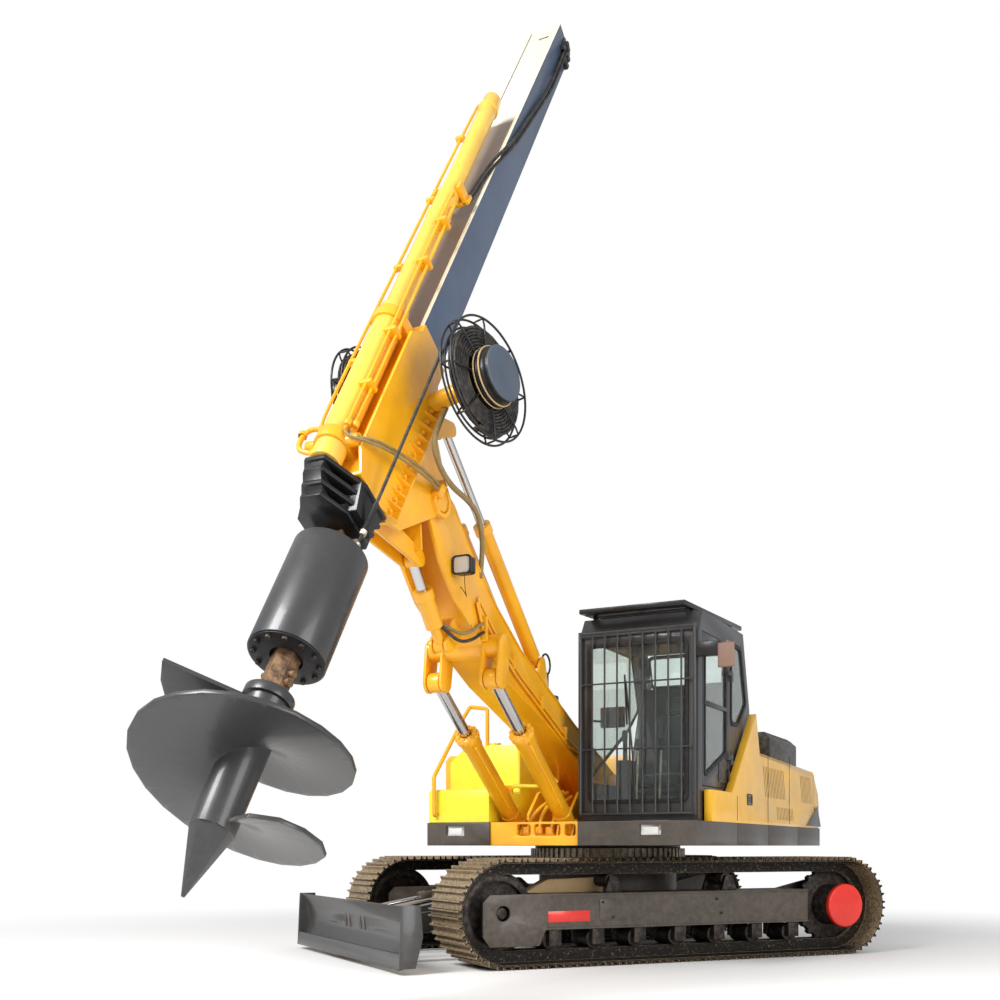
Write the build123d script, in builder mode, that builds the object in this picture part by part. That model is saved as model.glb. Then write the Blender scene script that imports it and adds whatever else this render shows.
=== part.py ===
from build123d import *
import os
from math import atan2, cos, degrees, hypot, pi, radians, sin

# Rotary piling rig on a crawler excavator base, in millimetres.
# X points forward over the boom, Y to the operator's left, Z up.
# The origin is on the ground, on the axis about which the upper part turns.

# Running clearances
pin_gap = 0.3          # round pin to its eye, on the radius, and sliding pad to its rail
side_gap = 6.0         # moving piece to the piece beside it
pin_over = 5.0         # end of a ram's pin past its eye
ear_plate = 20.0       # thickness of the ears that hold a ram

# Crawler undercarriage, in its own frame: x along the tracks
track_turn = -38.0     # degrees that the undercarriage is turned below the upper part
track_centre = 1050.0
wheel_x = 1700.0
loop_radius = 440.0    # tips of the shoe ribs round an end wheel
rib_height = 28.0
shoe_plate = 14.0
shoe_width = 600.0
shoe_count = 48
end_flats = 12         # flats of the chain round each end wheel
link_height = 94.0
strand_inner = 50.0    # chain strand, from the track's centre line
strand_outer = 92.0
roller_radius = 75.0
roller_flange = 82.0
roller_count = 7
roller_first_x = 1225.0
roller_pitch = 402.0
carrier_radius = 55.0
carrier_x = (660.0, -510.0)
frame_half_width = 200.0
frame_end_x = 1340.0
frame_low = 300.0
frame_high = 590.0
frame_plate = 30.0
frame_web_in = 12.0    # web of the beam, in from the flange's edge
idler_plate_end = 1880.0
drive_cover_radius = 195.0
carbody_radius = 700.0
carbody_low = 400.0
carbody_high = 800.0
tow_eye_x = -1030.0
tow_low = 460.0
tow_plate = 50.0
tow_hole = 32.0
tow_eye_radius = 85.0
tow_root = 150.0
leg_x = 700.0
leg_width = 420.0
ring_low = 860.0
ring_high = 955.0
ring_radius = 700.0
ring_teeth = 72
ring_tooth = 22.0

# Dozer blade
blade_pivot = (1120.0, 450.0)
blade_half_width = 1360.0
blade_back_x = 2500.0
blade_low = 50.0
blade_high = 520.0
blade_sweep = 110.0    # how far the edges stand ahead of the middle
blade_plate = 26.0
blade_arm_y = 470.0
blade_arm_width = 70.0
blade_ram_y = 190.0
blade_ram_base = (1060.0, 650.0)
blade_ram_eye = (2330.0, 420.0)
blade_ram_rod = 27.0
blade_ram_pin = 25.0

# Revolving deck
deck_front = 1830.0
deck_rear = -2940.0
deck_half_width = 1410.0
deck_low = 980.0
deck_high = 1170.0
deck_corner = 130.0
deck_step_x = 950.0    # in front of this the deck steps in on the right
deck_step_y = -915.0
bay_half_width = 360.0
bay_rear = 700.0
bay_mouth = (-328.0, 450.0)    # the bay's opening in the front skirt
bay_mouth_depth = 190.0
skirt_lamps = (-650.0, 1050.0)
lamp_half_width = 62.0
lamp_half_height = 28.0
lamp_z = 1095.0

# Boom: its outline in X and Z as it stands, and its pins
boom_foot = (250.0, 1500.0)
boom_half_width = 160.0
boom_wall = 25.0
boom_lip = 12.0        # how far the top and bottom plates stand past the webs, and how thick they are
boom_lap = 3.0         # each stretch of lip starts this far back inside the one before
mast_pivot = (3620.0, 3270.0)
boom_pin = 50.0
work_lamp_at = (3340.0, 245.0, 2890.0)
work_lamp_radius = 68.0
lift_y = 232.0
lift_base = (1480.0, 1130.0)
lift_eye = (2880.0, 2180.0)
lift_rod = 44.0
lift_pin = 40.0
rear_tilt_y = 98.0
rear_tilt_rod = 31.0
rear_tilt_pin = 24.0
rear_tilt_base = (1850.0, 2440.0)
rear_tilt_eye = (3363.0, 3833.0)
front_tilt_base = (3240.0, 2380.0)
front_tilt_eye = (3640.0, 2900.0)
front_tilt_rod_radius = 36.0
front_tilt_pin = 28.0

# Mast, in its own frame: x forward off its axis, z up along it from the auger's tip
auger_tip = (5910.0, 720.0)
mast_lean = 33.3       # degrees back from upright
mast_front = 200.0
mast_back = -100.0
mast_taper = 40.0      # by how much its front comes back at the top
mast_back_taper = 20.0
mast_half_width = 150.0
mast_wall = 14.0
mast_rail = 36.0
mast_low = 2760.0
mast_high = 8350.0
guide_low = 2780.0
guide_high = 4200.0
guide_front = 250.0
guide_lip = 335.0      # front edge of the left side plate, beside the crowd cylinder
guide_back = -150.0
guide_half_width = 206.0
guide_wall = 22.0
pad_height = 160.0
strip_height = 55.0    # ribbed strip down the rear of each side plate
strip_depth = 130.0
strip_cells = 10
crowd_x = 350.0
crowd_radius = 98.0
crowd_middle_radius = 80.0
crowd_upper_radius = 68.0
crowd_rod_radius = 50.0
crowd_low = 2790.0
crowd_step = 4260.0
crowd_upper_step = 5600.0
crowd_high = 6890.0
nose_low = 2520.0
nose_layers = 4
nose_layer = 26.0
kelly_half = 75.0
kelly_high = 5350.0
drum_low = 1580.0
drum_high = 2400.0
drum_radius = 235.0
stub_across = 150.0
stem_radius = 125.0
stem_low = 390.0
stem_high = 1300.0
flight_radius = 600.0
flight_pitch = 476.0
flight_zero = 822.0    # height at which the flight crosses the mast's front
flight_first = -285.0  # angles of its two ends from there, in degrees
flight_last = 315.0
flight_step = 15.0
flight_plate = 26.0
flight_runout = 60.0   # the lower end widens from the stem over this angle
reel_half_width = 95.0
reel_wire = 14.0
reel_axle = 30.0
# Hose reels: side, radius, place across and along the mast, turn of the axle to the front in degrees
reels = {"left": (1, 405.0, 665.0, 3850.0, 11.4), "right": (-1, 300.0, 400.0, 3980.0, 0.0)}

# Cab
cab_inner = 330.0
cab_outer = deck_half_width - 80
cab_front = 1500.0
cab_rear = -70.0
cab_floor = deck_high
cab_roof = 2840.0
cab_wall = 45.0
door_rear = 640.0
door_front = 1400.0
door_low = 1450.0
door_high = 2680.0
door_corner = (160.0, 175.0)   # slanted lower rear corner, in X and Z
guard_bar = 8.0
guard_tube = 14.0
visor_front = (1600.0, 2890.0)
visor_rear = (-110.0, 2960.0)
visor_depth = 38.0

# Engine house
house_front = -120.0
house_rear = -2510.0
house_top = 1800.0
house_inner = 760.0
louvre_lean = 90.0
# Rows of slanted louvres on the house sides: first slot's X, count, low and high ends
louvre_rows = ((-1140.0, 14, 1425.0, 1700.0), (-2390.0, 9, 1425.0, 1700.0), (-1500.0, 12, 1225.0, 1345.0))
louvre_pitch = 60.0
louvre_width = 22.0

# Tank and toolbox on the right
tank_x = (600.0, 1205.0)
tank_y = (-1040.0, -350.0)
tank_high = 1860.0
toolbox_x = (1211.0, 1822.0)
toolbox_y = (-905.0, -334.0)
toolbox_high = 1448.0
rail_radius = 17.0

os.makedirs("parts", exist_ok=True)

undercarriage_place = Location((0, 0, 0), (0, 0, track_turn))
mast_place = Location((auger_tip[0], 0, auger_tip[1]), (0, -mast_lean, 0))


def bar(x_range, y_range, z_range, mode=Mode.ADD):
    """A rectangular block between its low and high sides."""
    ranges = (x_range, y_range, z_range)
    with Locations(tuple((low + high) / 2 for low, high in ranges)):
        Box(*(high - low for low, high in ranges), mode=mode)


def across(centre, y_range, radius, mode=Mode.ADD):
    """A round bar or hole along Y, with its centre given in X and Z."""
    low, high = y_range
    with Locations(Location((centre[0], (low + high) / 2, centre[1]), (90, 0, 0))):
        Cylinder(radius, high - low, mode=mode)


def upright(x, y, z_range, radius, mode=Mode.ADD):
    """A round bar or hole along Z."""
    low, high = z_range
    with Locations((x, y, (low + high) / 2)):
        Cylinder(radius, high - low, mode=mode)


def plate(outline, y_range, mode=Mode.ADD, corner=0.0):
    """A side view in X and Z, carried across between two values of Y."""
    low, high = y_range
    with BuildSketch(Plane.XZ.offset(-high)) as view:
        with BuildLine():
            Polyline(*outline, close=True)
        make_face()
        if corner:
            fillet(view.vertices(), corner)
    extrude(view.sketch, amount=high - low, mode=mode)


def slab(outline, z_range, mode=Mode.ADD, corner=0.0):
    """A plan view in X and Y, carried up between two heights."""
    low, high = z_range
    with BuildSketch(Plane.XY.offset(low)) as view:
        with BuildLine():
            Polyline(*outline, close=True)
        make_face()
        if corner:
            fillet(view.vertices(), corner)
    extrude(view.sketch, amount=high - low, mode=mode)


def both_sides(y_range):
    """The same stretch of Y on the left and on the right."""
    low, high = y_range
    return [(low, high), (-high, -low)]


def lug(root, pin, radius, y_range):
    """A lug plate from two root points to a round end about its pin, in X and Z."""
    low, high = y_range
    with BuildSketch(Plane.XZ.offset(-high)) as view:
        with Locations(pin):
            Circle(radius)
        for end in root:
            with Locations(end):
                Circle(radius * 0.35)
        make_hull()
    extrude(view.sketch, amount=high - low)


def ram_line(base, eye):
    """Length of a ram and the angle of its line in X and Z, in degrees."""
    dx, dz = eye[0] - base[0], eye[1] - base[1]
    return hypot(dx, dz), degrees(atan2(dz, dx))


def ram_plane(base, eye, y):
    """Plane of a ram: its x runs from the base pin to the rod's eye."""
    return Plane(origin=(base[0], y, base[1]), x_dir=(eye[0] - base[0], 0, eye[1] - base[1]), z_dir=(0, -1, 0))


def ram_turning(profile, base, eye, y):
    """Turn a profile of distance and radius about the line of a ram."""
    plane = ram_plane(base, eye, y)
    with BuildSketch(plane) as half:
        with BuildLine():
            Polyline(*profile, close=True)
        make_face()
    revolve(half.sketch, axis=Axis(plane.origin, plane.x_dir))


def ear_inner(rod):
    """Half the gap between the two ears that hold a ram with this rod radius."""
    return rod + 2 + pin_over + side_gap


def ears(root, pin_at, y, rod, radius, pin=0.0):
    """Two ears beside a ram's eye, with a pin between them where one is given."""
    inner = ear_inner(rod)
    for side in both_sides((inner, inner + ear_plate)):
        lug(root, pin_at, radius, (y + side[0], y + side[1]))
    if pin:
        across(pin_at, (y - inner - 4, y + inner + 4), pin)


def ram_barrel(base, eye, y, barrel, rod, reach, ear_radius, pin, neck=8.0):
    """Barrel of a ram: base eye, neck past the ears, tube with its bore, and gland ring at the open end."""
    collar = barrel + 9
    half_eye = rod + 2
    start = ear_radius + neck
    ram_turning([(pin + 4, 0), (pin + 4, half_eye), (start, half_eye), (start + 14, barrel), (reach - 70, barrel),
                 (reach - 70, collar), (reach, collar), (reach, rod + pin_gap), (start + 30, rod + pin_gap),
                 (start + 30, 0)], base, eye, y)
    across(base, (y - half_eye, y + half_eye), pin * 1.7)
    across(base, (y - 2 * half_eye, y + 2 * half_eye), pin + pin_gap, Mode.SUBTRACT)


def ram_rod(base, eye, y, rod, inner, pin):
    """Rod of a ram with its eye, and the pin that the eye turns on."""
    length = ram_line(base, eye)[0]
    half_eye = rod + 2
    ram_turning([(inner, 0), (inner, rod), (length, rod), (length, 0)], base, eye, y)
    across(eye, (y - half_eye, y + half_eye), pin * 1.8)
    across(eye, (y - half_eye - pin_over, y + half_eye + pin_over), pin)


# Undercarriage

def loop_point(distance, radius):
    """Point at a distance round a track loop of the given end radius, from the top's middle."""
    half = wheel_x
    arc = pi * radius
    distance = distance % (4 * half + 2 * arc)
    if distance < half:
        return distance, loop_radius + radius
    distance -= half
    if distance < arc:
        turn = pi / 2 - distance / radius
        return half + radius * cos(turn), loop_radius + radius * sin(turn)
    distance -= arc
    if distance < 2 * half:
        return half - distance, loop_radius - radius
    distance -= 2 * half
    if distance < arc:
        turn = -pi / 2 - distance / radius
        return -half + radius * cos(turn), loop_radius + radius * sin(turn)
    return distance - arc - half, loop_radius + radius


def loop_flats(radius):
    """Closed loop of flats whose middles touch the given end radius."""
    corner = radius / cos(pi / (2 * end_flats))
    turns = [pi / 2 - pi * (index + 0.5) / end_flats for index in range(end_flats)]
    front = [(wheel_x + corner * cos(turn), loop_radius + corner * sin(turn)) for turn in turns]
    return front + [(-x, z) for x, z in reversed(front)]


def shoe_outline():
    """Outer edge of the track: each shoe is a flat plate with three ribs across it."""
    face_radius = loop_radius - rib_height
    pitch = (4 * wheel_x + 2 * pi * face_radius) / shoe_count
    ribs = [(0.06, 0.09, 0.15, 0.19), (0.42, 0.46, 0.52, 0.56), (0.79, 0.83, 0.89, 0.93)]
    points = []
    for shoe in range(shoe_count):
        for foot, tip, tip_end, foot_end in ribs:
            for share, height in ((foot, 0), (tip, rib_height), (tip_end, rib_height), (foot_end, 0)):
                along = (shoe + share) * pitch
                x, z = loop_point(along, face_radius)
                centre_x = max(-wheel_x, min(wheel_x, x))
                reach = hypot(x - centre_x, z - loop_radius)
                points.append((centre_x + (x - centre_x) * (reach + height) / reach,
                               loop_radius + (z - loop_radius) * (reach + height) / reach))
    return points


pieces = {}

for side, name in ((1, "left"), (-1, "right")):
    y_mid = side * track_centre

    # Track: shoes and the two strands of its chain, in one closed loop
    belly = loop_radius - rib_height - shoe_plate
    with BuildPart() as track:
        with BuildSketch(Plane.XZ.offset(-(y_mid + shoe_width / 2))) as shoes:
            with BuildLine():
                Polyline(*shoe_outline(), close=True)
            make_face()
            with BuildLine():
                Polyline(*loop_flats(belly), close=True)
            make_face(mode=Mode.SUBTRACT)
        extrude(shoes.sketch, amount=shoe_width)
        for low, high in both_sides((strand_inner, strand_outer)):
            with BuildSketch(Plane.XZ.offset(-(y_mid + high))) as strand:
                with BuildLine():
                    Polyline(*loop_flats(belly), close=True)
                make_face()
                with BuildLine():
                    Polyline(*loop_flats(belly - link_height), close=True)
                make_face(mode=Mode.SUBTRACT)
            extrude(strand.sketch, amount=high - low)
    pieces["track_" + name] = (track, undercarriage_place)

    # Side frame: beam with flanges, idler plates in front, drive plate behind
    inner = y_mid - side * frame_half_width
    outer = y_mid + side * frame_half_width
    low_y, high_y = sorted((inner, outer))
    with BuildPart() as frame:
        bar((-frame_end_x, frame_end_x), (low_y + frame_web_in, high_y - frame_web_in), (frame_low, frame_high))
        for flange in (frame_low, frame_high - 16):
            bar((-frame_end_x, frame_end_x), (low_y, high_y), (flange, flange + 16))
        idler_shape = [(frame_end_x - 20, frame_low), (frame_end_x + 40, 175), (idler_plate_end - 60, 175),
                       (idler_plate_end, 260), (idler_plate_end, frame_high - 60), (idler_plate_end - 60, frame_high),
                       (frame_end_x - 60, frame_high)]
        for plate_y in ((low_y, low_y + frame_plate), (high_y - frame_plate, high_y)):
            plate(idler_shape, plate_y)
        drive_shape = [(-frame_end_x + 60, frame_low), (-wheel_x, 210), (-wheel_x - 190, 300),
                       (-wheel_x - 190, frame_high - 10), (-wheel_x, 680), (-frame_end_x + 60, frame_high)]
        drive_y = (low_y, low_y + frame_plate) if side > 0 else (high_y - frame_plate, high_y)
        plate(drive_shape, drive_y)
        slot_y = (high_y - frame_plate, high_y) if side > 0 else (low_y, low_y + frame_plate)
        with Locations(Location((wheel_x, sum(slot_y) / 2, loop_radius), (90, 0, 0))):
            Cylinder(62, 2 * frame_plate, mode=Mode.SUBTRACT)
    pieces["track_frame_" + name] = (frame, undercarriage_place)

    # Rollers under the beam and on top of it, each with its shaft and shaft blocks
    rail_low = loop_radius - belly + link_height
    rail_high = loop_radius + belly - link_height
    roller_z = rail_low + pin_gap + roller_radius
    carrier_z = rail_high - pin_gap - carrier_radius
    block = 40.0
    with BuildPart() as rollers:
        for step in range(roller_count):
            centre = (roller_first_x - roller_pitch * step, roller_z)
            across(centre, (y_mid - 120, y_mid + 120), roller_radius)
            for low, high in both_sides((strand_outer + 8, 120)):
                across(centre, (y_mid + low, y_mid + high), roller_flange)
            across(centre, (y_mid - 180, y_mid + 180), 30)
            for low, high in both_sides((132, 180)):
                bar((centre[0] - 55, centre[0] + 55), (y_mid + low, y_mid + high), (roller_z - block, frame_low))
        for x in carrier_x:
            across((x, carrier_z), (y_mid - 105, y_mid + 105), carrier_radius)
            across((x, carrier_z), (y_mid - 150, y_mid + 150), 24)
            for low, high in both_sides((120, 150)):
                plate([(x - 80, frame_high), (x + 80, frame_high), (x + 34, carrier_z + 34), (x - 34, carrier_z + 34)],
                      (y_mid + low, y_mid + high))
    pieces["rollers_" + name] = (rollers, undercarriage_place)

    # Idler: two treads under the strands and a flange between them, on its axle
    idler_tread = belly - link_height - pin_gap
    plate_inner = frame_half_width - frame_plate
    with BuildPart() as idler:
        across((wheel_x, loop_radius), (y_mid - 95, y_mid + 95), idler_tread)
        across((wheel_x, loop_radius), (y_mid - 40, y_mid + 40), idler_tread + 34)
        for low, high in both_sides((55, 96)):
            across((wheel_x, loop_radius), (y_mid + low, y_mid + high), idler_tread - 50, Mode.SUBTRACT)
        across((wheel_x, loop_radius), (y_mid - plate_inner, y_mid + plate_inner), 45)
        across((wheel_x, loop_radius), (y_mid - 95, y_mid + 95), 90)
    pieces["idler_" + name] = (idler, undercarriage_place)

    # Drive sprocket with its gear housing, held by the plate behind the beam
    hub_inner = drive_y[1] if side > 0 else drive_y[0]
    hub_outer = y_mid + side * 235
    with BuildPart() as sprocket:
        with BuildSketch(Plane.XZ.offset(-(y_mid + 28))) as wheel:
            with Locations((-wheel_x, loop_radius)):
                Circle(belly - link_height + 6)
                with PolarLocations(belly - link_height + 4, 21):
                    Rectangle(44, 40)
                Circle(150, mode=Mode.SUBTRACT)
        extrude(wheel.sketch, amount=56)
        across((-wheel_x, loop_radius), tuple(sorted((hub_inner, hub_outer))), 185)
    pieces["sprocket_" + name] = (sprocket, undercarriage_place)

    with BuildPart() as cover:
        face = hub_outer + side * 45
        across((-wheel_x, loop_radius), tuple(sorted((hub_outer, face))), drive_cover_radius)
        chamfer(cover.faces().sort_by(Axis.Y)[-1 if side > 0 else 0].edges(), 10)
    pieces["drive_cover_" + name] = (cover, undercarriage_place)

# Carbody: centre drum on four legs that meet the side frames
frame_inner_y = track_centre - frame_half_width + frame_web_in
with BuildPart() as carbody:
    for x in (leg_x, -leg_x):
        for y in (1, -1):
            slab([(x - leg_width / 2, y * frame_inner_y), (x + leg_width / 2, y * frame_inner_y),
                  (x * 0.35 + leg_width * 0.62, 0), (x * 0.35 - leg_width * 0.62, 0)], (carbody_low, frame_high - 20))
    upright(0, 0, (carbody_low + 60, carbody_high), carbody_radius * 0.92)
    upright(0, 0, (carbody_high, ring_low), carbody_radius * 0.86)
    # Towing eye behind: a flat drawbar plate with an upright hole
    with BuildSketch(Plane.XY.offset(tow_low)) as drawbar:
        with Locations((tow_eye_x, 0)):
            Circle(tow_eye_radius)
        with Locations((-carbody_radius * 0.85, tow_root), (-carbody_radius * 0.85, -tow_root)):
            Circle(20)
        make_hull()
    extrude(drawbar.sketch, amount=tow_plate)
    upright(tow_eye_x, 0, (tow_low - 10, tow_low + tow_plate + 10), tow_hole, Mode.SUBTRACT)
    # Front bracket for the blade's arms and rams
    bar((560, 1000), (-560, 560), (carbody_low, 560))
    for low, high in both_sides((blade_arm_y - blade_arm_width / 2 - 34, blade_arm_y - blade_arm_width / 2 - side_gap)):
        lug([(980, 420), (980, 540)], blade_pivot, 70, (low, high))
    for low, high in both_sides((blade_arm_y + blade_arm_width / 2 + side_gap, blade_arm_y + blade_arm_width / 2 + 34)):
        lug([(980, 420), (980, 540)], blade_pivot, 70, (low, high))
    for low, high in both_sides((blade_arm_y - 60, blade_arm_y + 60)):
        across(blade_pivot, (low, high), 35)
    for y in (blade_ram_y, -blade_ram_y):
        ears([(900, 560), (990, 560)], blade_ram_base, y, blade_ram_rod, 50, blade_ram_pin)
pieces["carbody"] = (carbody, undercarriage_place)

# Slew ring with its outer teeth, fixed on the carbody
with BuildPart() as slew_ring:
    with BuildSketch(Plane.XY.offset(ring_low)) as gear:
        Circle(ring_radius)
        with PolarLocations(ring_radius, ring_teeth):
            Rectangle(2 * ring_tooth, 30)
        Circle(ring_radius - 150, mode=Mode.SUBTRACT)
    extrude(gear.sketch, amount=ring_high - ring_low)
pieces["slew_ring"] = (slew_ring, undercarriage_place)

# Dozer blade: curved mouldboard, end plates, cutting edge and two arms
blade_middle = (blade_low + blade_high) / 2
blade_edge_x = blade_back_x + blade_sweep
with BuildPart() as blade:
    with BuildSketch(Plane.XZ.offset(-blade_half_width)) as board:
        with BuildLine():
            ThreePointArc((blade_edge_x, blade_low), (blade_back_x, blade_middle), (blade_edge_x - 20, blade_high))
            Line((blade_edge_x - 20, blade_high), (blade_edge_x - 20 - blade_plate, blade_high))
            ThreePointArc((blade_edge_x - 20 - blade_plate, blade_high), (blade_back_x - blade_plate, blade_middle),
                          (blade_edge_x - blade_plate, blade_low))
            Line((blade_edge_x - blade_plate, blade_low), (blade_edge_x, blade_low))
        make_face()
    extrude(board.sketch, amount=2 * blade_half_width)
    end_shape = [(blade_edge_x + 12, blade_low), (blade_edge_x - 10, blade_high + 8), (blade_back_x - 50, blade_high + 8),
                 (blade_back_x - 70, blade_middle), (blade_back_x - 10, blade_low)]
    for low, high in both_sides((blade_half_width - 20, blade_half_width)):
        plate(end_shape, (low, high))
    plate([(blade_edge_x - 40, blade_low), (blade_edge_x + 14, blade_low - 10), (blade_edge_x + 2, blade_low + 110),
           (blade_edge_x - 22, blade_low + 110)], (-blade_half_width, blade_half_width))
    for y in (blade_arm_y, -blade_arm_y):
        half = blade_arm_width / 2
        arm = [(blade_pivot[0], blade_pivot[1] - 60), (blade_pivot[0], blade_pivot[1] + 60),
               (blade_back_x - 250, blade_middle + 120), (blade_back_x, blade_middle + 130),
               (blade_back_x, blade_middle - 90)]
        plate(arm, (y - half, y + half))
        across(blade_pivot, (y - half, y + half), 66)
        across(blade_pivot, (y - half - 10, y + half + 10), 35 + pin_gap, Mode.SUBTRACT)
    for y in (blade_ram_y, -blade_ram_y):
        ears([(blade_back_x - 10, blade_middle), (blade_back_x, blade_middle + 120)], blade_ram_eye, y, blade_ram_rod, 48)
    bar((blade_back_x - 90, blade_back_x - 10), (-blade_arm_y, blade_arm_y), (blade_middle - 60, blade_middle + 60))
pieces["blade"] = (blade, undercarriage_place)

with BuildPart() as blade_barrels:
    for y in (blade_ram_y, -blade_ram_y):
        ram_barrel(blade_ram_base, blade_ram_eye, y, 50, blade_ram_rod, 800, 50, blade_ram_pin)
pieces["blade_barrels"] = (blade_barrels, undercarriage_place)

with BuildPart() as blade_rods:
    for y in (blade_ram_y, -blade_ram_y):
        ram_rod(blade_ram_base, blade_ram_eye, y, blade_ram_rod, 320, blade_ram_pin)
pieces["blade_rods"] = (blade_rods, undercarriage_place)

# Deck: skirted platform, open in front for the boom's base, on its half of the slew ring
with BuildPart() as deck:
    slab([(deck_front, deck_half_width), (deck_front, bay_mouth[1]), (deck_front - bay_mouth_depth, bay_mouth[1]),
          (deck_front - bay_mouth_depth, bay_half_width), (bay_rear, bay_half_width), (bay_rear, -bay_half_width),
          (deck_front - bay_mouth_depth, -bay_half_width), (deck_front - bay_mouth_depth, bay_mouth[0]),
          (deck_front, bay_mouth[0]), (deck_front, deck_step_y), (deck_step_x, deck_step_y),
          (deck_step_x, -deck_half_width), (deck_rear + deck_corner, -deck_half_width),
          (deck_rear, -deck_half_width + deck_corner), (deck_rear, deck_half_width - deck_corner),
          (deck_rear + deck_corner, deck_half_width)], (deck_low, deck_high))
    upright(0, 0, (ring_high + pin_gap, deck_low + 5), ring_radius - 20)
    upright(0, 0, (ring_high - 80, deck_low + 5), ring_radius - 190)
    upright(0, 0, (ring_high - 100, deck_low + 5), ring_radius - 260, Mode.SUBTRACT)
    # Pockets for the lamps in the front skirt, and steps between the skirt's plates
    for y in skirt_lamps:
        bar((deck_front - 34, deck_front + 10), (y - lamp_half_width - 24, y + lamp_half_width + 24),
            (lamp_z - lamp_half_height - 16, lamp_z + lamp_half_height + 16), Mode.SUBTRACT)
    for low, high in ((deck_half_width - 7, deck_half_width + 7), (-deck_half_width - 7, -deck_half_width + 7)):
        for x in (640, -440, -1700):
            bar((x - 5, x + 5), (low, high), (deck_low - 5, deck_high + 5), Mode.SUBTRACT)
pieces["deck"] = (deck, None)

with BuildPart() as lamps:
    for y in skirt_lamps:
        bar((deck_front - 33.7, deck_front - 8), (y - lamp_half_width, y + lamp_half_width),
            (lamp_z - lamp_half_height, lamp_z + lamp_half_height))
        chamfer(lamps.faces().sort_by(Axis.X)[-1].edges(), 6)
pieces["skirt_lamps"] = (lamps, None)

# Boom base: two ribs that stand in the bay and hold the boom's foot and the lift rams
rib_inner = boom_half_width + 14
rib_outer = rib_inner + 26
rib_rear = -80.0
rib_front = 1380.0
base_floor = deck_low + 60
with BuildPart() as boom_base:
    bar((bay_rear, deck_front - bay_mouth_depth), (-bay_half_width, bay_half_width), (deck_low, base_floor))
    bar((deck_front - bay_mouth_depth, deck_front - 20), bay_mouth, (deck_low, base_floor))
    rib = [(rib_rear, deck_high), (boom_foot[0] - 170, boom_foot[1] + 60), (boom_foot[0] - 60, boom_foot[1] + 130),
           (boom_foot[0] + 70, boom_foot[1] + 130), (boom_foot[0] + 330, boom_foot[1] + 100), (1180, 1430),
           (rib_front, 1240), (rib_front, base_floor - 20), (bay_rear, base_floor - 20), (bay_rear, deck_high)]
    for side in both_sides((rib_inner, rib_outer)):
        plate(rib, side)
    bar((rib_rear, bay_rear), (-rib_outer, rib_outer), (deck_high, deck_high + 24))
    bar((deck_front - 60, deck_front - 20), bay_mouth, (deck_low, deck_high))
    # Rounded windows in the front plate: middle across, width
    for y, width in ((-28, 124), (179, 232), (378, 96)):
        with BuildSketch(Plane.YZ.offset(deck_front - 70)) as window:
            with Locations((y, (base_floor + deck_high) / 2)):
                RectangleRounded(width, deck_high - base_floor - 36, 20)
        extrude(window.sketch, amount=60, mode=Mode.SUBTRACT)
    for y in (lift_y, -lift_y):
        ears([(1400, base_floor - 10), (1570, base_floor - 10)], lift_base, y, lift_rod, 66, lift_pin)
    across(boom_foot, (-rib_outer - 20, rib_outer + 20), boom_pin)
pieces["boom_base"] = (boom_base, None)

# Boom: bent box of four plates, forked at its head
boom_top = [(boom_foot[0] - 20, boom_foot[1] + 120), (1240, 2020), (1800, 2270), (2270, 2480), (2710, 2750),
            (3030, 3010), (3330, 3320), (3480, 3400)]
boom_under = [(mast_pivot[0] + 70, mast_pivot[1] - 100), (3540, 2900), (3330, 2670), (3100, 2530), (2780, 2330),
              (2490, 2190), (1650, 1900), (1240, 1740), (boom_foot[0] + 100, boom_foot[1] - 110)]
head = (mast_pivot[0] + 60, mast_pivot[1] + 100)
with BuildPart() as boom:
    plate(boom_top + [head] + boom_under, (-boom_half_width, boom_half_width))
    across(boom_foot, (-rib_inner + pin_gap, rib_inner - pin_gap), 130)
    across(boom_foot, (-300, 300), boom_pin + pin_gap, Mode.SUBTRACT)
    fork = boom_half_width - boom_wall
    plate([(3180, 2300), (3180, 2720), (3330, 3130), (3560, 3600), (4000, 3600), (4000, 2300)], (-fork, fork),
          Mode.SUBTRACT)
    across(mast_pivot, (-boom_half_width, boom_half_width), 95)
    across(mast_pivot, (-boom_half_width - 62, boom_half_width + 62), boom_pin - 5)
    for low, high in both_sides((boom_half_width + 44, boom_half_width + 62)):
        across(mast_pivot, (low, high), boom_pin + 22)
    # Lips of the top and bottom plates past the webs
    for outline in (boom_top[:-2], boom_under[3:]):
        for index, ((x0, z0), (x1, z1)) in enumerate(zip(outline, outline[1:])):
            run = hypot(x1 - x0, z1 - z0)
            down_x, down_z = (z1 - z0) / run, -(x1 - x0) / run
            if index:
                x0, z0 = x0 + boom_lap * down_z, z0 - boom_lap * down_x
            lip = [(x0, z0), (x1, z1), (x1 + boom_lip * down_x, z1 + boom_lip * down_z),
                   (x0 + boom_lip * down_x, z0 + boom_lip * down_z)]
            for side in both_sides((boom_half_width - 1, boom_half_width + boom_lip)):
                plate(lip, side)
    # Cross tube and lugs for the lift rams' eyes
    lift_root = (2840, 2420)
    lift_ear = lift_y + ear_inner(lift_rod) + ear_plate
    across(lift_root, (-lift_ear, lift_ear), 85)
    for y in (lift_y, -lift_y):
        ears([(2780, 2430), (2900, 2440)], lift_eye, y, lift_rod, 78)
    # Lugs for the tilt rams
    ears([(3030, 2530), (3130, 2600)], front_tilt_base, 0, front_tilt_rod_radius, 55, front_tilt_pin)
    for y in (rear_tilt_y, -rear_tilt_y):
        ears([(1750, 2240), (1930, 2320)], rear_tilt_base, y, rear_tilt_rod, 48, rear_tilt_pin)
pieces["boom"] = (boom, None)

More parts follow.
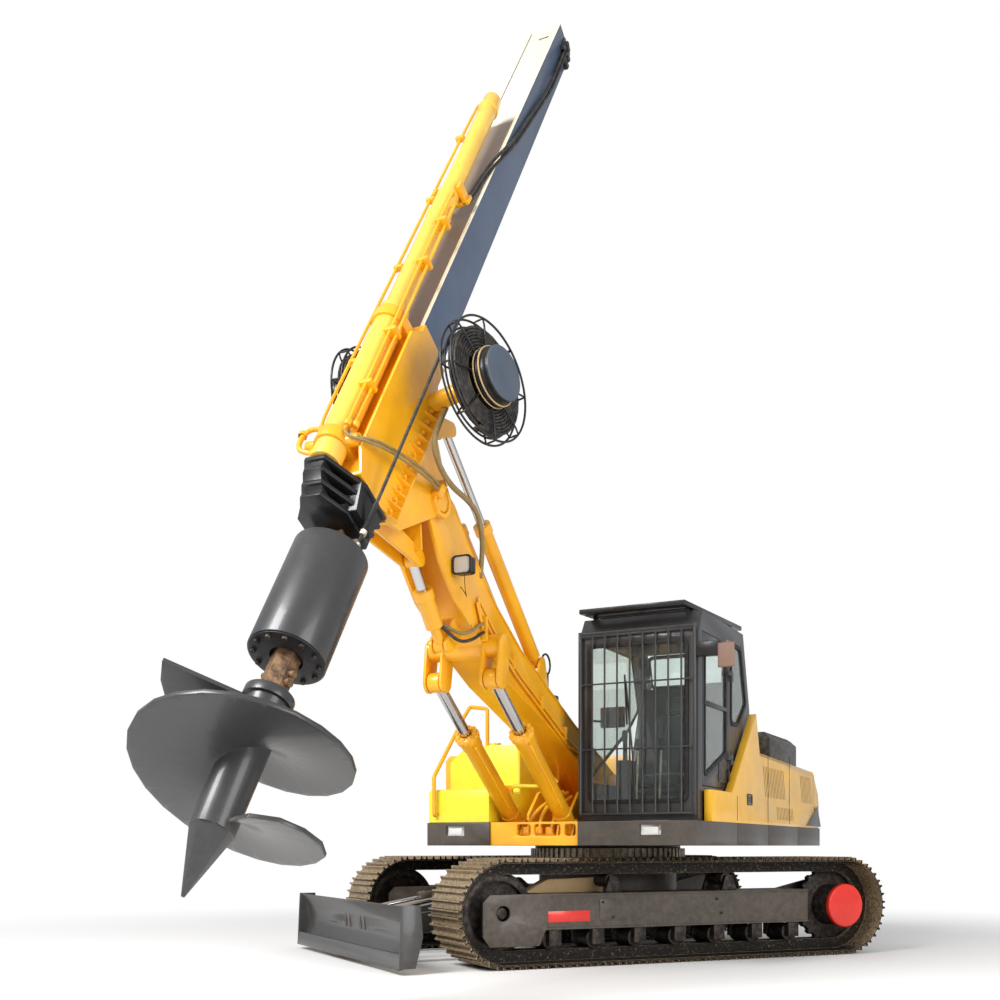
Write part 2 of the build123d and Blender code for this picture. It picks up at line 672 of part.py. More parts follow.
# Work lamp on the boom's left web
with BuildPart() as work_lamp:
    bar((work_lamp_at[0] - 30, work_lamp_at[0]), (boom_half_width, work_lamp_at[1]),
        (work_lamp_at[2] - 20, work_lamp_at[2] + 20))
    with Locations(Location(work_lamp_at, (0, 90, 0))):
        Cylinder(work_lamp_radius, 90)
    with Locations(Location((work_lamp_at[0] + 45, work_lamp_at[1], work_lamp_at[2]), (0, 90, 0))):
        Cylinder(work_lamp_radius - 10, 12, mode=Mode.SUBTRACT)
pieces["work_lamp"] = (work_lamp, None)

with BuildPart() as lift_barrels:
    for y in (lift_y, -lift_y):
        ram_barrel(lift_base, lift_eye, y, 74, lift_rod, 1170, 66, lift_pin)
pieces["lift_barrels"] = (lift_barrels, None)

with BuildPart() as lift_rods:
    for y in (lift_y, -lift_y):
        ram_rod(lift_base, lift_eye, y, lift_rod, 420, lift_pin)
pieces["lift_rods"] = (lift_rods, None)

with BuildPart() as rear_tilt_barrels:
    for y in (rear_tilt_y, -rear_tilt_y):
        ram_barrel(rear_tilt_base, rear_tilt_eye, y, 56, rear_tilt_rod, 1300, 48, rear_tilt_pin)
pieces["rear_tilt_barrels"] = (rear_tilt_barrels, None)

with BuildPart() as rear_tilt_rods:
    for y in (rear_tilt_y, -rear_tilt_y):
        ram_rod(rear_tilt_base, rear_tilt_eye, y, rear_tilt_rod, 450, rear_tilt_pin)
pieces["rear_tilt_rods"] = (rear_tilt_rods, None)

with BuildPart() as front_tilt_barrel:
    ram_barrel(front_tilt_base, front_tilt_eye, 0, 62, front_tilt_rod_radius, 430, 55, front_tilt_pin, neck=80.0)
pieces["front_tilt_barrel"] = (front_tilt_barrel, None)

with BuildPart() as front_tilt_rod:
    ram_rod(front_tilt_base, front_tilt_eye, 0, front_tilt_rod_radius, 250, front_tilt_pin)
pieces["front_tilt_rod"] = (front_tilt_rod, None)


def in_mast(point):
    """A point of the machine's side view, in the mast's own frame."""
    dx, dz = point[0] - auger_tip[0], point[1] - auger_tip[1]
    lean = radians(mast_lean)
    return dx * cos(lean) + dz * sin(lean), -dx * sin(lean) + dz * cos(lean)


def reel_frame(side, across_mast, along_mast, turn):
    """Frame of a hose reel in the mast's frame, with its axle along Y."""
    return Location((0, side * across_mast, along_mast), (0, 0, -side * turn))


# Guide: box that the mast slides through, with cheeks down to the mast's pivot
pivot = in_mast(mast_pivot)
rear_eye = in_mast(rear_tilt_eye)
front_eye = in_mast(front_tilt_eye)
cheek_inner = boom_half_width + side_gap / 2
cheek_outer = boom_half_width + 38
corner_cut = 330.0
clamps = (guide_low + 190, guide_high - 60)
with BuildPart() as guide:
    bar((guide_back, guide_front), (-guide_half_width, guide_half_width), (guide_low, guide_high))
    cavity = guide_half_width - guide_wall
    bar((guide_back + guide_wall, guide_front - guide_wall), (-cavity, cavity), (guide_low - 10, guide_high + 10),
        Mode.SUBTRACT)
    plate([(guide_front - 5, guide_low + 20), (guide_front - 5, guide_high - 60), (guide_lip, guide_high - 180),
           (guide_lip, guide_low + 150)], (cavity, guide_half_width))
    plate([(guide_back - 10, guide_high - corner_cut), (guide_back - 10, guide_high + 10),
           (guide_back + 210, guide_high + 10)], (-guide_half_width - 10, guide_half_width + 10), Mode.SUBTRACT)
    # Wear pads: low and high, beside, before and behind the mast
    rear_pad = guide_high - corner_cut - 20 - pad_height
    for low in (guide_low, guide_high - pad_height):
        for side in both_sides((mast_half_width + pin_gap, cavity)):
            bar((mast_back, mast_front), side, (low, low + pad_height))
        bar((mast_front + pin_gap, guide_front - guide_wall), (-100, 100), (low, low + pad_height))
    for low in (guide_low, rear_pad):
        bar((guide_back + guide_wall, mast_back - pin_gap), (-100, 100), (low, low + pad_height))
    # Ribbed strip with bosses down the rear of both side plates
    strip_top = guide_high - corner_cut - 50
    cell = (strip_top - guide_low) / strip_cells
    for side in (1, -1):
        root, tip = side * (guide_half_width - 2), side * (guide_half_width + strip_height)
        bar((guide_back, guide_back + 14), tuple(sorted((root, tip))), (guide_low, strip_top))
        for step in range(strip_cells + 1):
            z = guide_low + step * cell
            slab([(guide_back + 5, root), (guide_back + 5, tip), (guide_back + 24, tip),
                  (guide_back + strip_depth, root)], (z - 5 if step else z, z + 5))
            if step < strip_cells:
                across((guide_back + 58, z + cell / 2), tuple(sorted((root, root + side * 26))), 15)
    cheek = [(guide_back + 10, guide_low), (guide_back + 10, guide_high - corner_cut - 90),
             (guide_back - 110, guide_high - corner_cut - 150), (pivot[0] - 70, pivot[1] + 120),
             (pivot[0] - 105, pivot[1]), (pivot[0] - 40, pivot[1] - 100), (guide_back - 110, guide_low + 60)]
    for side in both_sides((cheek_inner, cheek_outer)):
        plate(cheek, side)
    # Eight-sided collar round each end of the pivot pin
    for side in both_sides((cheek_outer - 1, cheek_outer + 30)):
        with BuildSketch(Plane.XZ.offset(-side[1])) as collar:
            with Locations(pivot):
                RegularPolygon(boom_pin + 68, 8)
                Circle(boom_pin + 34, mode=Mode.SUBTRACT)
        extrude(collar.sketch, amount=31)
    across(pivot, (-400, 400), boom_pin - 5 + pin_gap, Mode.SUBTRACT)
    for y in (rear_tilt_y, -rear_tilt_y):
        ears([(guide_back + 14, strip_top - 240), (guide_back + 14, strip_top)], rear_eye, y, rear_tilt_rod, 50)
    ears([(guide_back + 14, guide_low + 20), (guide_back + 14, guide_low + 160)], front_eye, 0,
         front_tilt_rod_radius, 56)
    # Closing plate in front of the front ram's eye
    plate([in_mast(point) for point in ((3728, 3100), (3746, 3100), (3732, 2930), (3714, 2930))], (-125, 125))
    # Clamps round the crowd cylinder, the lower one with trunnions in its brackets
    for z in clamps:
        bar((guide_front - guide_wall, crowd_x), (-crowd_radius - 16, crowd_radius + 16), (z - 45, z + 45))
        upright(crowd_x, 0, (z - 45, z + 45), crowd_radius + 16)
    for side in both_sides((crowd_radius + 10, guide_half_width - guide_wall + 2)):
        across((crowd_x, clamps[0]), side, 40)
    upright(crowd_x, 0, (guide_low - 60, guide_high + 60), crowd_radius, Mode.SUBTRACT)
    for side, radius, y, along, turn in reels.values():
        for shaft, past in ((60.0, -reel_half_width - side_gap), (reel_axle, 20.0)):
            start = -y + guide_half_width - 20
            with Locations(reel_frame(side, y, along, turn) * Location((0, side * (start + past) / 2, 0), (90, 0, 0))):
                Cylinder(shaft, past - start)
pieces["guide"] = (guide, mast_place)

with BuildPart() as crowd_barrel:
    bore = crowd_rod_radius + pin_gap
    with BuildSketch(Plane.XZ) as tube:
        with BuildLine():
            Polyline((bore, crowd_low), (crowd_radius, crowd_low), (crowd_radius, crowd_step),
                     (crowd_middle_radius, crowd_step + 20), (crowd_middle_radius, crowd_upper_step),
                     (crowd_upper_radius, crowd_upper_step + 16), (crowd_upper_radius, crowd_high - 20),
                     (crowd_upper_radius - 20, crowd_high), (0, crowd_high), (0, crowd_high - 120),
                     (bore, crowd_high - 120), close=True)
        make_face()
    revolve(tube.sketch, axis=Axis.Z)
crowd_barrel.part.move(Location((crowd_x, 0, 0)))
pieces["crowd_barrel"] = (crowd_barrel, mast_place)

# Hose reels beside the guide: wire cage, hub and wound hose, each made about its own axle
for name, (side, radius, y, along, turn) in reels.items():
    place = mast_place * reel_frame(side, y, along, turn)
    hub = 0.44 * radius
    bore_y = tuple(sorted((-side * (reel_half_width + 5), side * 22)))
    with BuildPart() as reel:
        across((0, 0), (-reel_half_width, reel_half_width), hub)
        for low, high in both_sides((reel_half_width - reel_wire, reel_half_width)):
            for ring in (radius, 0.78 * radius):
                across((0, 0), (low, high), ring)
                across((0, 0), (low, high), ring - reel_wire, Mode.SUBTRACT)
                across((0, 0), (low, high), hub)
            for spoke in range(8):
                with Locations(Location((0, (low + high) / 2, 0), (0, 45 * spoke, 0))):
                    with Locations((radius / 2, 0, 0)):
                        Box(radius - reel_wire, reel_wire, reel_wire)
        for spoke in range(8):
            angle = radians(45 * spoke)
            centre = ((radius - reel_wire / 2) * cos(angle), (radius - reel_wire / 2) * sin(angle))
            across(centre, (-reel_half_width + 4, reel_half_width - 4), reel_wire / 2 - 1)
        across((0, 0), bore_y, reel_axle + pin_gap, Mode.SUBTRACT)
    pieces["reel_" + name] = (reel, place)
    with BuildPart() as coil:
        width = reel_half_width - reel_wire - 4
        across((0, 0), (-width, width), 0.76 * radius)
        across((0, 0), (-width - 1, width + 1), hub, Mode.SUBTRACT)
    pieces["hose_coil_" + name] = (coil, place)

# Mast: plated box that carries the telescoping bar, a little shallower towards its top
def mast_view(inset, low, high):
    """The mast's side view between two heights, drawn in on all sides by a plate's thickness."""
    front, back = mast_front - inset, mast_back + inset
    return [(back, low), (front, low), (front, guide_high), (front - mast_taper, high),
            (back + mast_back_taper, high), (back, guide_high)]


with BuildPart() as mast:
    plate(mast_view(0, mast_low, mast_high), (-mast_half_width, mast_half_width))
    for side in both_sides((mast_half_width - mast_rail, mast_half_width)):
        plate([(mast_front - 1, mast_low), (mast_front + 9, mast_low), (mast_front + 9, guide_high),
               (mast_front + 9 - mast_taper, mast_high), (mast_front - 1 - mast_taper, mast_high),
               (mast_front - 1, guide_high)], side)
    inner = mast_half_width - mast_wall
    plate(mast_view(mast_wall, mast_low - 10, mast_high - 20), (-inner, inner), Mode.SUBTRACT)
pieces["mast"] = (mast, mast_place)

# Nose: the kelly's lower guide, with layers of pointed plates in front and a box on each side
with BuildPart() as mast_nose:
    bar((mast_back, mast_front), (-mast_half_width, mast_half_width), (nose_low, mast_low))
    plate([(mast_front - 10, mast_low), (crowd_x + 70, mast_low), (crowd_x + 70, mast_low - 90),
           (crowd_x - 30, nose_low + 20), (mast_front - 10, nose_low)], (-62, 62))
    pitch = (mast_low - nose_low - nose_layer) / (nose_layers - 1)
    for layer in range(nose_layers):
        z = nose_low + pitch * layer
        wide = mast_half_width + 20 + 18 * layer
        reach = crowd_x + 30 * layer
        slab([(mast_back + 20, wide), (mast_front - 20, wide), (reach, 70), (reach, -70), (mast_front - 20, -wide),
              (mast_back + 20, -wide)], (z, z + nose_layer))
    for side in both_sides((mast_half_width - 5, mast_half_width + 62)):
        plate([(mast_back + 20, mast_low - 10), (mast_front + 20, mast_low - 10), (mast_front - 30, nose_low + 40),
               (mast_back + 90, nose_low + 40)], side)
    hole = kelly_half + pin_gap
    bar((-hole, hole), (-hole, hole), (nose_low - 10, mast_low + 10), Mode.SUBTRACT)
pieces["mast_nose"] = (mast_nose, mast_place)

with BuildPart() as crowd_rod:
    upright(crowd_x, 0, (mast_low, 6300), crowd_rod_radius)
    upright(crowd_x, 0, (mast_low, mast_low + 20), crowd_rod_radius + 20)
pieces["crowd_rod"] = (crowd_rod, mast_place)

# Telescoping bar, power head and the auger below it
with BuildPart() as kelly:
    bar((-kelly_half, kelly_half), (-kelly_half, kelly_half), (drum_high, kelly_high))
pieces["kelly_bar"] = (kelly, mast_place)

with BuildPart() as power_head:
    with BuildSketch(Plane.XZ) as drum:
        with BuildLine():
            Polyline((0, drum_high), (drum_radius - 20, drum_high), (drum_radius, drum_high - 20),
                     (drum_radius, drum_low), (drum_radius - 18, drum_low), (drum_radius - 18, drum_low + 110),
                     (0, drum_low + 110), close=True)
        make_face()
    revolve(drum.sketch, axis=Axis.Z)
    with Locations((0, 0, drum_low + 80)):
        with PolarLocations(165, 12):
            Cylinder(12, 62)
pieces["power_head"] = (power_head, mast_place)

with BuildPart() as drive_stub:
    upright(0, 0, (drum_low + 30, drum_low + 110 - pin_gap), 130)
    with BuildSketch(Plane.XY.offset(stem_high)) as hexagon:
        RegularPolygon(stub_across / 2, 6, major_radius=False)
    extrude(hexagon.sketch, amount=drum_low + 30 - stem_high)
    across((0, stem_high + 150), (-110, 110), 22)
pieces["drive_stub"] = (drive_stub, mast_place)

with BuildPart() as auger:
    upright(0, 0, (stem_low, stem_high), stem_radius)
    upright(0, 0, (stem_high - 60, stem_high), stem_radius + 22)
    # Faceted point: a cone of six flats
    with BuildSketch(Plane.XY.offset(stem_low)) as wide:
        RegularPolygon(stem_radius - 6, 8)
    with BuildSketch(Plane.XY.offset(0)) as fine:
        RegularPolygon(10, 8)
    loft(sections=[fine.sketch, wide.sketch], ruled=True)
    # Flight: radial sections joined by ruled plates
    flight = []
    for index in range(int((flight_last - flight_first) / flight_step) + 1):
        turn = flight_first + index * flight_step
        ray = Plane(origin=(0, 0, flight_zero + flight_pitch * turn / 360),
                    x_dir=(cos(radians(turn)), sin(radians(turn)), 0),
                    z_dir=(sin(radians(turn)), -cos(radians(turn)), 0))
        share = min(1.0, ((turn - flight_first + 6) / flight_runout) ** 0.5)
        width = share * (flight_radius - stem_radius) + 30
        with BuildSketch(ray) as section:
            with Locations((stem_radius - 30 + width / 2, 0)):
                Rectangle(width, flight_plate)
        flight.append(section.sketch)
    loft(sections=flight, ruled=True)
pieces["auger"] = (auger, mast_place)

# Counterweight, sloped down to the rear, and the engine house
with BuildPart() as counterweight:
    plate([(house_rear, deck_high), (house_rear, house_top - 20), (house_rear - 270, 1550), (deck_rear, deck_high + 10),
           (deck_rear, deck_high)], (-deck_half_width + 15, deck_half_width - 15))
    corner_y = deck_half_width - deck_corner
    for side in (1, -1):
        slab([(deck_rear - 10, side * corner_y), (deck_rear - 10, side * (deck_half_width + 10)),
              (deck_rear + deck_corner, side * (deck_half_width + 10))], (deck_high - 10, house_top), Mode.SUBTRACT)
pieces["counterweight"] = (counterweight, None)

panel_peak = (0.0, 2150.0)
for side, name in ((1, "left"), (-1, "right")):
    front = house_front if side > 0 else tank_x[0]
    skin = deck_half_width
    with BuildPart() as house_side:
        low_y, high_y = sorted((side * house_inner, side * skin))
        plate([(house_rear, deck_high), (front, deck_high), (front, house_top + 30), (house_rear, house_top - 20)],
              (low_y, high_y))
        top_edges = [edge for edge in house_side.edges() if abs(edge.center().Y - side * skin) < 1
                     and edge.center().Z > house_top - 40]
        chamfer(top_edges, 45)
        if side > 0:
            # Panel beside the cab, with its slanted front edge up to the peak
            plate([(front - 5, deck_high), (door_front - 10, deck_high), (door_front - 10, door_low - 30),
                   (800, door_low - 30), panel_peak, (front, house_top + 30), (front - 5, house_top - 10)],
                  (cab_outer + 15, skin))
        for first, count, low, high in louvre_rows:
            for step in range(count):
                x = first + step * louvre_pitch
                lean = louvre_lean * (high - low) / (louvre_rows[0][3] - louvre_rows[0][2])
                plate([(x, low), (x + louvre_width, low), (x + louvre_width + lean, high), (x + lean, high)],
                      tuple(sorted((side * (skin - 12), side * (skin + 12)))), Mode.SUBTRACT)
    pieces["house_" + name] = (house_side, None)

with BuildPart() as engine:
    bar((-1950, -900), (-420, 420), (deck_high, 1690))
    bar((-900, -560), (-300, 300), (deck_high + 60, 1560))
    bar((-2230, -1950), (-500, 500), (deck_high, 1700))
pieces["engine"] = (engine, None)

hinge = (house_front - 55, house_top + 10)
hinge_pin = 12.0
hood_inner = house_inner - side_gap
bracket_y = (hood_inner - 60, hood_inner - 24)
with BuildPart() as hood:
    bar((house_rear + 30, house_front - 30), (-hood_inner, hood_inner), (house_top - 20, house_top + 30))
    chamfer(hood.faces().sort_by(Axis.Z)[-1].edges(), 25)
    for low, high in both_sides(bracket_y):
        bar((hinge[0] - 40, house_front), (low - side_gap, high + side_gap), (house_top - 30, house_top + 40),
            Mode.SUBTRACT)
    across(hinge, (-bracket_y[0] + side_gap, bracket_y[0] - side_gap), hinge_pin + 10)
    across(hinge, (-hood_inner - 1, hood_inner + 1), hinge_pin + pin_gap, Mode.SUBTRACT)
pieces["hood"] = (hood, None)

with BuildPart() as bulkhead:
    bar((house_front - 10, house_front + 30), (-house_inner, house_inner), (deck_high, house_top + 30))
    for side in both_sides(bracket_y):
        lug([(house_front - 8, house_top - 60), (house_front - 8, house_top - 10)], hinge, 24, side)
    across(hinge, (-bracket_y[1], bracket_y[1]), hinge_pin)
pieces["bulkhead"] = (bulkhead, None)

house_fall = 50 / (house_front - house_rear)
with BuildPart() as intake_cover:
    seat_z = [house_top + 30 - house_fall * (house_front - x) + pin_gap for x in (-2000, -850)]
    plate([(-2000, seat_z[0]), (-850, seat_z[1]), (-850, 2080), (-2000, 2080)], (930, 1330))
    chamfer(intake_cover.faces().sort_by(Axis.Z)[-1].edges(), 70)
    for x in range(-1930, -950, 90):
        bar((x, x + 40), (900, 1360), (2040, 2090), Mode.SUBTRACT)
pieces["intake_cover"] = (intake_cover, None)

with BuildPart() as tank:
    with BuildSketch(Plane.YZ.offset(tank_x[0])) as tank_view:
        with BuildLine():
            Polyline((tank_y[0], deck_high), (tank_y[1], deck_high), (tank_y[1], tank_high),
                     (tank_y[0] + 175, tank_high), (tank_y[0], tank_high - 150), close=True)
        make_face()
    extrude(tank_view.sketch, amount=tank_x[1] - tank_x[0])
    chamfer(tank.edges().filter_by(Axis.Z).sort_by(Axis.X)[-2:], 14)
    across((sum(tank_x) / 2, tank_high + 30), (-800, -680), 12)
    upright(sum(tank_x) / 2, -740, (tank_high, tank_high + 45), 55)
pieces["tank"] = (tank, None)

with BuildPart() as toolbox:
    bar(toolbox_x, toolbox_y, (deck_high, toolbox_high))
    chamfer(toolbox.faces().sort_by(Axis.Z)[-1].edges(), 16)
pieces["toolbox"] = (toolbox, None)

# Handrail: one bent tube from the toolbox's front up to the tank's top
rail_y = -830.0
with BuildPart() as handrail:
    with BuildLine() as rail_path:
        FilletPolyline((toolbox_x[1], rail_y, 1232), (toolbox_x[1] + 44, rail_y, 1232),
                       (toolbox_x[1] + 44, rail_y, 1553), (1327, rail_y, 2108), (1213, rail_y, 2207),
                       (1150, -690, 2190), (1150, -690, tank_high), radius=26)
    with BuildSketch(Plane(origin=rail_path.line @ 0, z_dir=rail_path.line % 0)) as rail_section:
        Circle(rail_radius)
    sweep(rail_section.sketch, path=rail_path.line)
pieces["handrail"] = (handrail, None)

def door_view(inset):
    """The door's outline in X and Z, with its lower rear corner cut on the slant."""
    low, high = door_low + inset, door_high - inset
    rear, front = door_rear + inset, door_front - inset
    return [(rear + door_corner[0], low), (front, low), (front, high), (rear, high), (rear, low + door_corner[1])]


hinge_z = (door_low + 270, door_high - 250)

# Cab: shell with its windows cut, door, guards, seat and console
with BuildPart() as cab:
    side_view = [(cab_front, cab_floor), (cab_front, 2660), (cab_front - 120, cab_roof), (150, cab_roof),
                 (cab_rear, 2200), (cab_rear, cab_floor)]
    plate(side_view, (cab_inner, cab_outer))
    hollow = [(cab_front - cab_wall, cab_floor + 40), (cab_front - cab_wall, 2640),
              (cab_front - 140, cab_roof - cab_wall), (180, cab_roof - cab_wall), (cab_rear + cab_wall, 2190),
              (cab_rear + cab_wall, cab_floor + 40)]
    plate(hollow, (cab_inner + cab_wall, cab_outer - cab_wall), Mode.SUBTRACT)
    bar((cab_front - 80, cab_front + 10), (cab_inner + 90, cab_outer - 90), (1330, 2600), Mode.SUBTRACT)
    plate(door_view(0), (cab_outer - 100, cab_outer + 10), Mode.SUBTRACT)
    plate([(60, 2230), (240, 2700), (door_rear - 90, 2700), (door_rear - 90, 2020), (330, 2020)],
          (cab_outer - 100, cab_outer + 10), Mode.SUBTRACT, corner=55)
    plate([(60, 2230), (240, 2700), (1330, 2700), (1330, 1500), (330, 1500)], (cab_inner - 10, cab_inner + 100),
          Mode.SUBTRACT, corner=55)
    plate([(cab_rear - 10, 2420), (cab_rear + 300, 2420), (cab_rear + 300, 2720), (cab_rear - 10, 2720)],
          (cab_inner + 110, cab_outer - 110), Mode.SUBTRACT)
    for z in hinge_z:
        upright(door_rear - 30, cab_outer + 22, (z - 60, z - 20), 16)
        upright(door_rear - 30, cab_outer + 22, (z - 60, z + 60), 8)
        bar((door_rear - 46, door_rear - 14), (cab_outer - 10, cab_outer + 22), (z - 60, z - 20))
pieces["cab"] = (cab, None)

with BuildPart() as cab_door:
    gap = side_gap
    plate(door_view(gap), (cab_outer - 42, cab_outer))
    plate([(door_rear + 70, door_low + 300), (door_front - 70, door_low + 80), (door_front - 70, door_high - 80),
           (door_rear + 70, door_high - 80)], (cab_outer - 60, cab_outer + 20), Mode.SUBTRACT, corner=60)
    for z in hinge_z:
        upright(door_rear - 30, cab_outer + 22, (z - 19, z + 20), 16)
        bar((door_rear - 30, door_rear + 60), (cab_outer + 8, cab_outer + 24), (z - 19, z + 20))
        bar((door_rear + 30, door_rear + 60), (cab_outer - 5, cab_outer + 24), (z - 19, z + 20))
        upright(door_rear - 30, cab_outer + 22, (z - 30, z + 30), 8 + pin_gap, Mode.SUBTRACT)
pieces["cab_door"] = (cab_door, None)

# Guard of round bars in front of the windscreen, on four stand-offs
with BuildPart() as front_guard:
    guard_x = cab_front + 30
    guard_y = (cab_inner + 20, cab_outer - 20)
    guard_z = (1232.0, 2700.0)
    for y in guard_y:
        upright(guard_x, y, (guard_z[0] - guard_tube, guard_z[1] + guard_tube), guard_tube)
    for z in guard_z:
        across((guard_x, z), (guard_y[0], guard_y[1]), guard_tube - 1)
    for step in range(1, 9):
        upright(guard_x, guard_y[0] + step * (guard_y[1] - guard_y[0]) / 9, guard_z, guard_bar)
    for z in (1757, 2286):
        across((guard_x, z), guard_y, guard_bar - 1)
    for y in guard_y:
        for z in (guard_z[0] + 30, guard_z[1] - 30):
            bar((cab_front, guard_x), (y - 9, y + 9), (z - 12, z + 12))
pieces["front_guard"] = (front_guard, None)

# Visor over the roof: a slotted plate that slopes, on four feet
with BuildPart() as roof_guard:
    visor_y = (cab_inner + 40, cab_outer - 80)
    fall = (visor_rear[1] - visor_front[1]) / (visor_front[0] - visor_rear[0])
    plate([visor_front, visor_rear, (visor_rear[0], visor_rear[1] - visor_depth),
           (visor_front[0], visor_front[1] - visor_depth)], visor_y)
    for x in range(40, 1480, 120):
        bar((x, x + 62), (visor_y[0] + 60, visor_y[1] - 60), (cab_roof, visor_rear[1] + 10), Mode.SUBTRACT)
    for x in (190, 1300):
        top = visor_front[1] + (visor_front[0] - x) * fall - visor_depth / 2
        for y in (visor_y[0] + 28, visor_y[1] - 28):
            bar((x - 20, x + 20), (y - 16, y + 16), (cab_roof, top))
pieces["roof_guard"] = (roof_guard, None)

with BuildPart() as seat:
    seat_y = (cab_inner + 270, cab_outer - 250)
    bar((420, 920), seat_y, (1450, 1600))
    plate([(420, 1560), (560, 1560), (430, 2300), (320, 2300)], seat_y)
    bar((520, 820), (seat_y[0] + 80, seat_y[1] - 80), (cab_floor + 40, 1450))
pieces["seat"] = (seat, None)

with BuildPart() as console:
    for y in (cab_inner + 170, cab_outer - 220):
        bar((700, 1060), (y, y + 90), (cab_floor + 40, 1700))
        upright(1000, y + 45, (1700, 1900), 20)
pieces["console"] = (console, None)

with BuildPart() as mirror:
    arm_y = cab_outer + 250
    bar((cab_front - 55, cab_front - 33), (cab_outer, arm_y), (2540, 2560))
    bar((cab_front - 55, cab_front + 40), (arm_y - 22, arm_y), (2540, 2560))
    bar((cab_front + 18, cab_front + 40), (arm_y - 22, arm_y), (2460, 2560))
    bar((cab_front + 40, cab_front + 68), (arm_y - 80, arm_y + 50), (2350, 2540))
    chamfer(mirror.faces().sort_by(Axis.X)[-1].edges(), 10)
pieces["mirror"] = (mirror, None)

for name, (piece, place) in pieces.items():
    if place is not None:
        piece.part.move(place)
    piece.part.label = name
    export_step(piece.part, "parts/" + name + ".step")
    print(name, "solids", len(piece.part.solids()), "faces", len(piece.part.faces()))
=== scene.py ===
# %% [markdown]
# A rotary piling rig, dressed for its portrait
#
# The machine is a crawler excavator base that carries a tilting guide, a sliding mast and a screw auger.
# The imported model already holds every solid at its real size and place. This file adds what a lens sees
# on top of that: paint, rust, rubber, glass, hoses, pipes and the small hardware.
# All lengths are metres. X points forward over the boom, Y to the operator's left, Z up.

# %% Load the solids
from math import atan2, cos, pi, radians, sin

import bmesh
import bpy
import numpy as np
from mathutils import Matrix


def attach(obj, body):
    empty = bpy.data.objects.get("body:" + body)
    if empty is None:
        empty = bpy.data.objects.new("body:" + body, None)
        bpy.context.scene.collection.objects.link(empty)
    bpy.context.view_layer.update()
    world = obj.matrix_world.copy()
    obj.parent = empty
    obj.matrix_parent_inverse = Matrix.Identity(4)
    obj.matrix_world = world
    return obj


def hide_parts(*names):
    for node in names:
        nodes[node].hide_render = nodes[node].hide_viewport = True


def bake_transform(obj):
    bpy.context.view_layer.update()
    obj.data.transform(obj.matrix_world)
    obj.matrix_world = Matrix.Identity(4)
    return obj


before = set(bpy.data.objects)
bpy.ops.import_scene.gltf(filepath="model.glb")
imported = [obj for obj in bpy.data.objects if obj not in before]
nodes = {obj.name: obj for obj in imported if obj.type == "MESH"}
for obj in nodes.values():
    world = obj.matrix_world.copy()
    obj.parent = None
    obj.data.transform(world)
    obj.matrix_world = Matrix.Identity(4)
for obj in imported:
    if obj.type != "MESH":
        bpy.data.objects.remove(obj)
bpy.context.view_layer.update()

# %% [markdown]
# Two parts of the machine stand at an angle to everything else. The mast leans back by 33.3 degrees over
# the auger's tip, and the crawlers are slewed 38 degrees under the deck. It is easier to think along the
# mast or along the tracks, so two small functions turn such local points into the machine's own frame.

# %% Local frames
MAST_LEAN = radians(33.3)
AUGER_TIP = np.array([5.91, 0.0, 0.72])
TRACK_TURN = radians(-38.0)
MAST_TURN = np.array([[cos(MAST_LEAN), 0.0, -sin(MAST_LEAN)], [0.0, 1.0, 0.0],
                      [sin(MAST_LEAN), 0.0, cos(MAST_LEAN)]])
CRAWLER_TURN = np.array([[cos(TRACK_TURN), -sin(TRACK_TURN), 0.0], [sin(TRACK_TURN), cos(TRACK_TURN), 0.0],
                         [0.0, 0.0, 1.0]])


def by_mast(points):
    """Mast points (forward of its axis, across, along it from the auger's tip) turned and moved into the frame."""
    return np.asarray(points, float) @ MAST_TURN.T + AUGER_TIP


def by_crawler(points):
    """Crawler points (along the tracks, across, up) turned about Z into the frame."""
    return np.asarray(points, float) @ CRAWLER_TURN.T


ALONG_TRACKS = CRAWLER_TURN[:, 0]
print("mast axis", MAST_TURN[:, 2].round(3), "track axis", ALONG_TRACKS.round(3))

# %% [markdown]
# The camera stands low, in front of the cab's corner, at the height of a person's waist. Its optical axis
# is level, so every upright edge stays upright in the picture, and the frame is shifted up to take in the
# mast, as an architect's lens does. The three numbers below came from fitting known crawler sizes.

# %% Camera
FOCAL_PIXELS = 1183.445
PICTURE_PIXELS = 1000.0
AXIS_PIXEL = (473.5, 846.3)
CAMERA_AT = (10.506, 4.031, 0.973)
CAMERA_YAW = 0.479

lens = bpy.data.cameras.new("portrait_lens")
lens.sensor_width = 36.0
lens.lens = FOCAL_PIXELS * lens.sensor_width / PICTURE_PIXELS
lens.shift_x = 0.5 - AXIS_PIXEL[0] / PICTURE_PIXELS
lens.shift_y = AXIS_PIXEL[1] / PICTURE_PIXELS - 0.5
lens.clip_end = 200.0
camera = bpy.data.objects.new("portrait_camera", lens)
bpy.context.scene.collection.objects.link(camera)
camera.location = CAMERA_AT
camera.rotation_euler = (pi / 2, 0.0, pi / 2 + CAMERA_YAW)
bpy.context.scene.camera = camera
bpy.context.scene.view_settings.view_transform = "Standard"
print("lens", round(lens.lens, 2), "mm, shift", round(lens.shift_x, 4), round(lens.shift_y, 4))

# %% [markdown]
# A material is a small graph of nodes. Writing each one out by hand gets long, so a single function adds
# any kind of node, sets its values and links its inputs. Colours are picked as sRGB hex, the way a paint
# chart gives them, and Blender's shaders want linear light, so one more function converts them.

# %% Colour and node helpers


def linear(code):
    """sRGB hex to linear light: c/12.92 below 0.04045, else ((c + 0.055)/1.055) to the power 2.4."""
    share = np.array([int(code[i:i + 2], 16) for i in (1, 3, 5)]) / 255.0
    light = np.where(share <= 0.04045, share / 12.92, ((share + 0.055) / 1.055) ** 2.4)
    return (*light.tolist(), 1.0)


